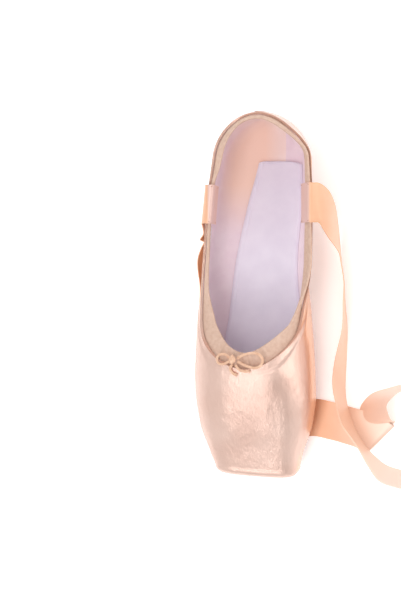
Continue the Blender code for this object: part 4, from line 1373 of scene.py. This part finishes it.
def make_knot(finish):
    """The bow's knot: a squashed lump with a band wound over it."""
    middle = CordPoint(0.0, 0.0, KNOT_SIZE[2] / 2 + CLEARANCE)
    centre, outwards = on_vamp(middle), vamp_normal(middle)
    groove_at, groove_width = KNOT_GROOVE
    band_swell, groove_swell, small_swell = KNOT_SWELL
    across = Vector((1.0, 0.0, 0.0))
    across = (across - outwards * across.dot(outwards)).normalized()
    axes = (across, outwards.cross(across).normalized(), outwards)
    rings = []
    for i in range(KNOT_ROWS + 1):
        tilt = math.pi * i / KNOT_ROWS
        ring = []
        for turn in even_turns(KNOT_CORNERS):
            a = math.sin(tilt) * math.cos(turn)
            b = math.sin(tilt) * math.sin(turn)
            band = math.exp(-((a / KNOT_BAND) ** 4))
            groove = math.exp(-(((abs(a) - groove_at) / groove_width) ** 2))
            small = math.cos(a * KNOT_STRANDS) * band + math.sin(3 * turn + 1.0)
            swell = 1 + band_swell * band - groove_swell * groove + small_swell * small
            point = centre.copy()
            for axis, share, size in zip(axes, (a, b, math.cos(tilt)), KNOT_SIZE):
                point += axis * share * size / 2 * swell
            ring.append(point)
        rings.append(ring)
    add_rings("bow_knot", rings, finish, "drawstring", ("drawstring_knot",), within=KNOT_MERGED)


def make_bow(cotton):
    make_knot(cotton)
    for side, rows in (("inner", LOOP_INNER), ("outer", LOOP_OUTER)):
        make_bow_cord(f"bow_loop_{side}", rows, cotton, f"drawstring_loop_{side}")
    for side, rows in (("inner", END_INNER), ("outer", END_OUTER)):
        cord = make_bow_cord(f"bow_end_{side}", rows, cotton, f"drawstring_end_{side}")
        make_frayed(f"bow_fray_{side}", *cord, cotton)


# Ribbons
def make_ribbon(name, rows, finish, node):
    """A ribbon with thicker woven edges."""
    columns = RIBBON_COLUMNS
    grid = ribbon_grid(rows, columns, RIBBON_STEPS)
    rings = []
    for i, row in enumerate(grid):
        upper, lower = [], []
        for k, point in enumerate(row):
            ahead = grid[min(i + 1, len(grid) - 1)][k] - grid[max(i - 1, 0)][k]
            across = row[min(k + 1, columns)] - row[max(k - 1, 0)]
            from_edge = min(k, columns - k) / columns * RIBBON_WIDTH
            share = EDGE_SHARE if from_edge < SELVEDGE else CLOTH_SHARE
            half = across.cross(ahead).normalized() * RIBBON_THICKNESS / 2 * share
            upper.append(point + half)
            lower.append(point - half)
        rings.append(upper + lower[::-1])
    width = len(rings[0])
    last = (len(rings) - 1) * width
    ends = []
    for k in range(columns):
        ends.append((k + 1, k, width - 1 - k, width - 2 - k))
        ends.append((last + k, last + k + 1, last + width - 2 - k, last + width - 1 - k))
    piece = add_rings(
        name, rings, finish, "ribbon_satin", (node,), more=ends, within=RIBBON_MERGED
    )


# Stage
def make_stage():
    mesh = bpy.data.meshes.new("floor")
    corners = ((-1, -1), (1, -1), (1, 1), (-1, 1))
    mesh.from_pydata([(x * FLOOR_HALF, y * FLOOR_HALF, 0) for x, y in corners], [], [(0, 1, 2, 3)])
    white = linear(255, 252, 252)
    shader = Shader(
        "floor_white", 0.9, Specular_IOR_Level=0.2, Emission_Color=white,
        Emission_Strength=FLOOR_GLOW,
    )
    shader.colour(linear(255, 253, 253))
    mesh.materials.append(shader.made)
    plane = bpy.data.objects.new("floor", mesh)
    bpy.context.scene.collection.objects.link(plane)
    plane.location.z = FLOOR_LEVEL


def make_sky():
    """An even white sky with one dark strip."""
    world = bpy.data.worlds.new("studio")
    sky = Nodes(world)
    way = sky.add("ShaderNodeTexCoord").outputs["Generated"]
    aside = sky.add("ShaderNodeVectorMath", operation="DOT_PRODUCT")
    sky.feed(way, aside, 0)
    sky.feed(CARD_NORMAL, aside, 1)
    height = sky.fill(sky.add("ShaderNodeSeparateXYZ"), Vector=way).outputs["Z"]
    past_end = sky.ramp(height, *CARD_LOW, 1.0, 0.0)
    away = sky.math("ADD", past_end, sky.math("ABSOLUTE", aside.outputs["Value"]))
    strength = sky.ramp(away, *CARD_FADE, interpolation_type="SMOOTHSTEP")
    sky.fill(sky.tree.nodes["Background"], Color=SKY_COLOUR, Strength=strength)
    bpy.context.scene.world = world


def add_light(row):
    data = bpy.data.lights.new(row.name, "AREA")
    data.shape = "RECTANGLE"
    data.size, data.size_y = row.size
    data.energy = row.power
    data.color = row.colour
    light = bpy.data.objects.new(row.name, data)
    bpy.context.scene.collection.objects.link(light)
    light.location = row.position
    direction = Vector(LIT) - Vector(row.position)
    light.rotation_euler = direction.to_track_quat("-Z", "Y").to_euler()


def make_camera():
    """Looks down on the shoe as in the photo."""
    away = Vector(LOOK_FROM).normalized()
    right = Vector((0.0, 1.0, 0.0)).cross(away).normalized()
    data = bpy.data.cameras.new("camera")
    data.sensor_fit = "AUTO"
    data.sensor_width = SENSOR
    width, height = PHOTO_SIZE
    data.lens = FOCAL_PIXELS / height * SENSOR
    data.shift_x = (width / 2 - CENTRE_PIXELS[0]) / height
    data.shift_y = (CENTRE_PIXELS[1] - height / 2) / height
    data.clip_start = 0.01
    camera = bpy.data.objects.new("camera", data)
    bpy.context.scene.collection.objects.link(camera)
    level = Matrix((right, away.cross(right), away)).transposed().to_4x4()
    place = Matrix.Translation(Vector(LOOK_AT) + away * LOOK_DISTANCE)
    camera.matrix_world = place @ level @ Matrix.Rotation(LOOK_ROLL, 4, "Z")
    bpy.context.scene.camera = camera


make_camera()
make_bow(tape_finish("drawstring", linear(244, 206, 178), linear(222, 176, 146)))
satin, lining = satin_finish(), lining_finish()
press_creases(wall_piece("satin_cover", satin_point, satin_back, SATIN_COLUMNS, satin))
wall_piece("lining", lining_front, lining_back, LINING_COLUMNS, lining, 2 * COLLAR_FOLD)
make_sole_piece(
    "leather_sole", "outsole", leather_finish(), "sole_leather", outsole_top, outsole_bottom,
    OUTSOLE_TIP, OUTSOLE_ROUND,
)
make_sole_piece(
    "sock_lining", "insole", sock_finish(), "sock", sock_top, sock_bottom, INSOLE_TIP, INSOLE_ROUND
)
make_casing(tape_finish("casing_tape", linear(224, 194, 176), linear(212, 178, 158)))
thread = plain_finish("thread", linear(238, 214, 190), linear(214, 182, 152), 0.7, 900.0)
make_casing_stitches(thread)
make_heel_tape(satin_finish())
thread = plain_finish("tab_thread", linear(214, 170, 150), linear(196, 150, 130), 0.7, 900.0)
make_tab_stitches(thread)
cloth = plain_finish("bare_label", linear(250, 246, 248), linear(243, 238, 243), 0.8, 500.0)
make_label(cloth)
peach = ribbon_finish()
make_ribbon("inner_ribbon", RIBBON_INNER, peach, "ribbon_inner")
make_ribbon("outer_ribbon", RIBBON_OUTER, peach, "ribbon_outer")
make_stage()
make_sky()
for row in LIGHTS:
    add_light(row)
bpy.context.scene.view_settings.view_transform = "Standard"
